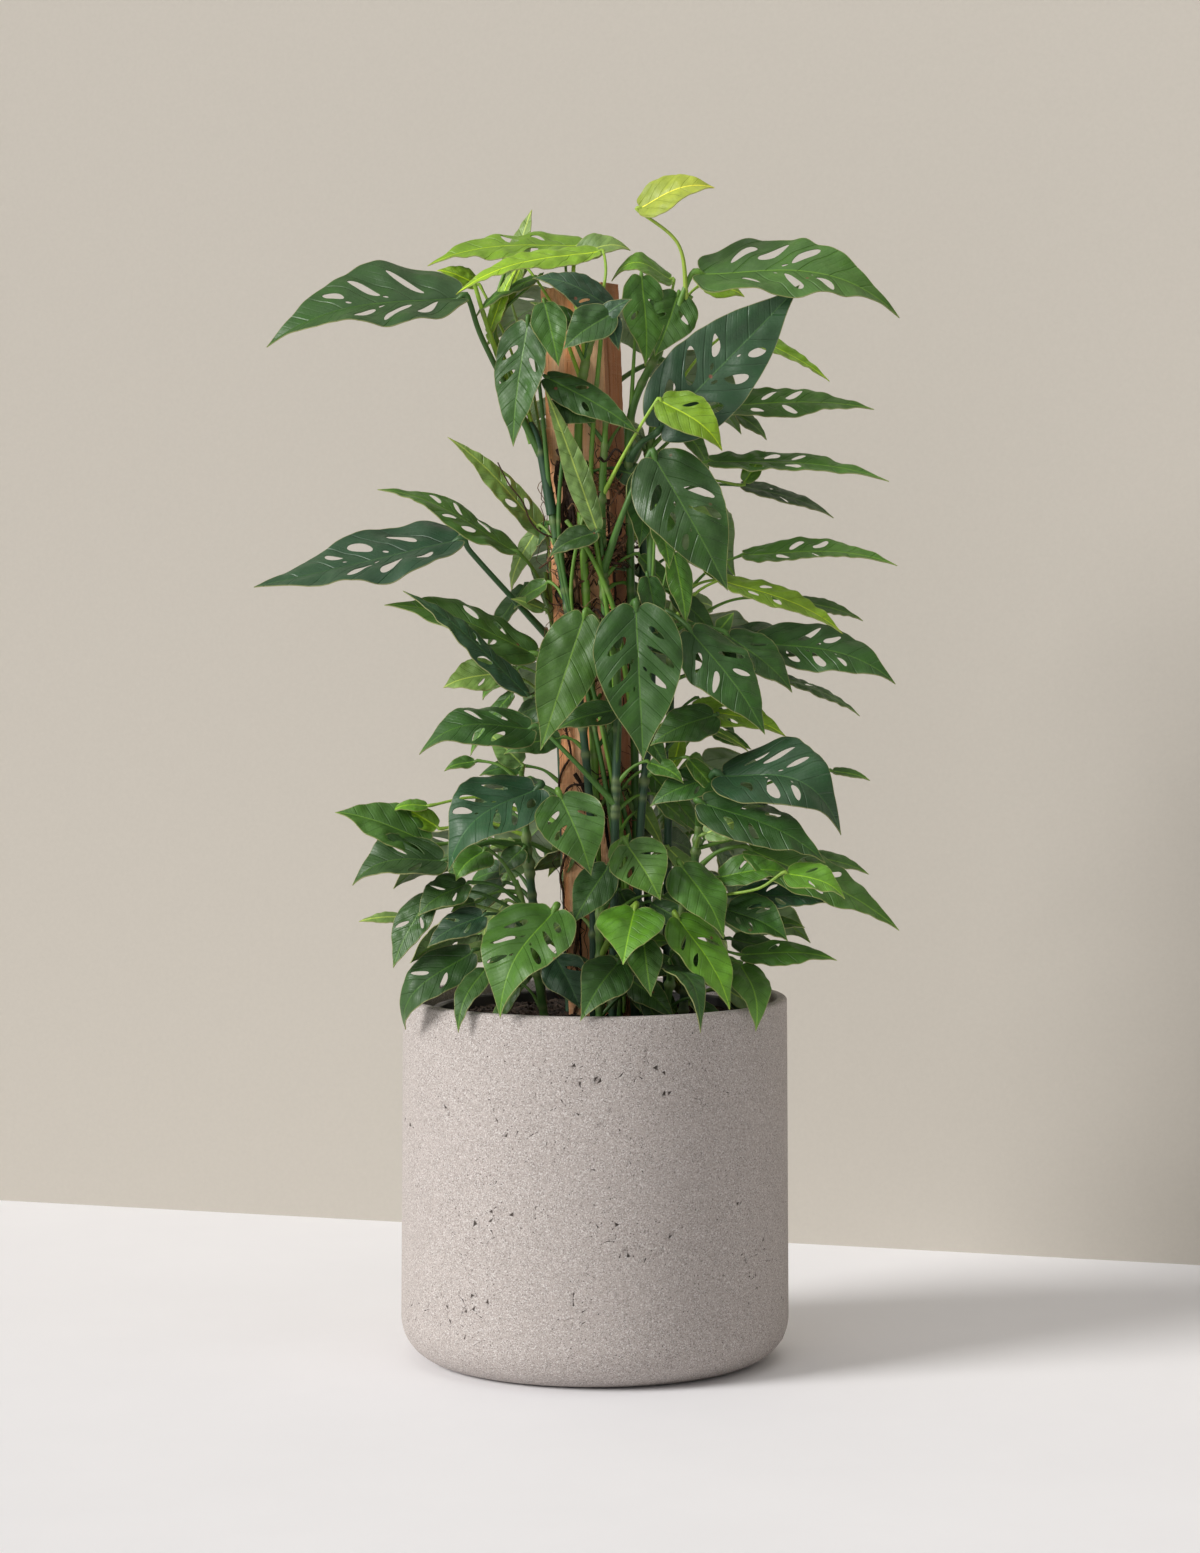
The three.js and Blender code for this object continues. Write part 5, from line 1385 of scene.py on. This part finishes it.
def on_stake(turn, z, off):
    """A point off the stake's skin: turn is the way it is seen from, 0 at the front."""
    way = np.array([math.sin(turn), -math.cos(turn)])
    c, s = math.cos(STAKE_TURN), math.sin(STAKE_TURN)
    local = np.array([way[0] * c + way[1] * s, -way[0] * s + way[1] * c])
    reach = min(STAKE_WIDTH / 2 / max(abs(local[0]), 1e-6), STAKE_DEPTH / 2 / max(abs(local[1]), 1e-6))
    x, y = way * (reach + off)
    return np.array([x + STAKE_X_AT_SOIL + STAKE_LEAN * (z - SOIL_TOP), y, z])


draw = random.Random(23)
lines = []
for x, z, length, radius in ROOTS:
    centre = STAKE_X_AT_SOIL + STAKE_LEAN * (z - SOIL_TOP)
    turn = max(-ROOT_MOST_TURN, min(ROOT_MOST_TURN, (x - centre) / ROOT_REACH))
    path, off = [], 5.5
    for step in range(int(length / 12)):
        path.append(on_stake(turn, z, off))
        z -= draw.uniform(9, 14)
        turn += draw.gauss(0, 0.09)
        off = max(0.6, min(7, off + draw.gauss(-0.5, 1.1)))
        if z < ROOT_LOWEST:
            break
    path = evenly(smooth_path(path, 5), 3.5)
    thick = radius * np.linspace(1, 0.45, len(path)) * (1 + 0.15 * np.sin(np.arange(len(path)) * 1.7))
    lines.append(cord(path, thick, draw.choice(ROOT_TINTS)))
for height, count, spread in MATS:
    for _ in range(count):
        z = height + draw.gauss(0, spread)
        start = draw.uniform(-1.2, 0.7)
        span = draw.uniform(0.5, 1.9)
        tilt, off = draw.gauss(0, 18), draw.uniform(0.8, 15)
        path = [on_stake(start + span * share, z + tilt * share + draw.gauss(0, 3.2),
                         max(0.6, off + draw.gauss(0, 1.6))) for share in np.linspace(0, 1, 9)]
        path = evenly(smooth_path(path, 4), 3)
        radius = draw.choice((0.35, 0.5, 0.8, 1.3))
        lines.append(cord(path, radius * np.linspace(1, 0.6, len(path)), draw.choice(ROOT_TINTS)))
for _ in range(HAIRS):
    z = draw.uniform(*HAIR_HEIGHTS)
    turn = draw.uniform(-1.3, 1.2)
    off = draw.uniform(0.8, 8)
    path = [on_stake(turn, z, off)]
    for _ in range(6):
        z -= draw.uniform(3, 12)
        turn += draw.gauss(0, 0.16)
        off = max(0.4, off + draw.gauss(0, 1.6))
        path.append(on_stake(turn, z, off))
    path = evenly(smooth_path(path, 4), 4)
    lines.append(cord(path, np.linspace(0.4, 0.18, len(path)), draw.choice(ROOT_TINTS)))
path = evenly(smooth_path(LOOSE_ROOT, 6), 3.5)
lines.append(cord(path, LOOSE_ROOT_RADIUS * np.linspace(0.7, 1, len(path)), ROOT_TINTS[1]))
sweep_root, root_ids = sweep_tree("sweep_root", root_cord)
roots = grown("aerial_roots", drawn_lines("root_lines", lines), sweep_root, root_ids,
              {"Sides": ROOT_SIDES, "Thickness": 1.0})
join_frame(roots, None)

# ---------------------------------------------------------------------------------------
# Studio: a pale floor and a plain wall behind, soft window light from the left, and the
# camera at the height of the leaves.
FLOOR_TINT = srgb(247, 246, 248)
WALL_TINT = srgb(187, 181, 171)
WALL_ENDS = ((-0.644, 0.832), (0.583, 0.438))
CAMERA_PLACE = (0.0043, -3.3, 0.666)
CAMERA_TILT = 2.92
CAMERA_LENS = 89.85
# Lamps: name, kind, place, aim, angle or size, power and colour.
LAMPS = [("key", "SUN", (-6.6, -3.3, 4.1), (0.05, 0, 0.5), math.radians(25), 3.15, (1, 0.985, 0.97)),
         ("front_fill", "AREA", (-0.8, -3.6, 1.6), (0, 0, 0.5), 2.2, 10, (1, 0.99, 0.98)),
         ("top_fill", "AREA", (0.1, -0.7, 3.2), (0, 0, 0.4), 2.0, 14, (1, 0.995, 0.99)),
         ("back_fill", "AREA", (1.2, 3.4, 2.0), (0, 0, 0.6), 2.4, 16, (0.98, 0.99, 1))]
AIR_TINT = (0.84, 0.835, 0.83, 1)
AIR_STRENGTH = 0.24
FLOOR_REACH = 8
WALL_TALL = 4


def backdrop(name, roughness, tint, grain, shade, corners):
    """A flat studio surface with a faint mottle. Returns its material's tree and shader."""
    coat, tree, shader, place = finish_base(name, roughness)
    faint, _ = add_mottle(tree, place, grain, 0.3, 0.7)
    tree.links.new(blend_colour(tree, faint, tint, [c * shade for c in tint]), shader.inputs["Base Color"])
    mesh = bpy.data.meshes.new(name)
    mesh.from_pydata(corners, [], [(0, 1, 2, 3)])
    mesh.materials.append(coat)
    stage_piece = bpy.data.objects.new(name, mesh)
    bpy.context.scene.collection.objects.link(stage_piece)
    return tree, shader


backdrop("studio_floor", 0.8, FLOOR_TINT, 3, 0.97,
         [(x * FLOOR_REACH, y * FLOOR_REACH, 0) for x, y in ((-1, -1), (1, -1), (1, 1), (-1, 1))])
(x0, y0), (x1, y1) = WALL_ENDS
dx, dy = (x1 - x0) * 4, (y1 - y0) * 4
tree, shader = backdrop("studio_wall", 0.95, WALL_TINT, 240, 0.965, [
    (x0 - dx, y0 - dy, 0), (x1 + dx, y1 + dy, 0),
    (x1 + dx, y1 + dy, WALL_TALL), (x0 - dx, y0 - dy, WALL_TALL)])
# From its back the wall can be seen through, so that a view from behind isn't blocked.
one_way = lay(tree, "ShaderNodeMixShader")
clear = lay(tree, "ShaderNodeBsdfTransparent")
wire(tree, lay(tree, "ShaderNodeNewGeometry").outputs["Backfacing"], one_way.inputs[0],
     shader.outputs[0], one_way.inputs[1], clear.outputs[0], one_way.inputs[2],
     one_way.outputs[0], tree.nodes["Material Output"].inputs[0])

camera_data = bpy.data.cameras.new("camera")
camera_data.sensor_width = 36
camera_data.lens = CAMERA_LENS
camera = bpy.data.objects.new("camera", camera_data)
camera.location = CAMERA_PLACE
camera.rotation_euler = (math.radians(90 - CAMERA_TILT), 0, 0)
bpy.context.scene.collection.objects.link(camera)
bpy.context.scene.camera = camera

for name, kind, spot, aim, size, power, colour in LAMPS:
    lamp_data = bpy.data.lights.new(name, kind)
    lamp_data.energy, lamp_data.color = power, colour
    if kind == "SUN":
        lamp_data.angle = size
    else:
        lamp_data.size = size
    lamp = bpy.data.objects.new(name, lamp_data)
    lamp.location = spot
    lamp.rotation_mode = "QUATERNION"
    lamp.rotation_quaternion = (Vector(aim) - Vector(spot)).to_track_quat("-Z", "Y")
    bpy.context.scene.collection.objects.link(lamp)
world = bpy.data.worlds.new("studio_air")
world.use_nodes = True
air = world.node_tree.nodes["Background"]
air.inputs[0].default_value, air.inputs[1].default_value = AIR_TINT, AIR_STRENGTH
bpy.context.scene.world = world
bpy.context.scene.view_settings.view_transform = "Standard"
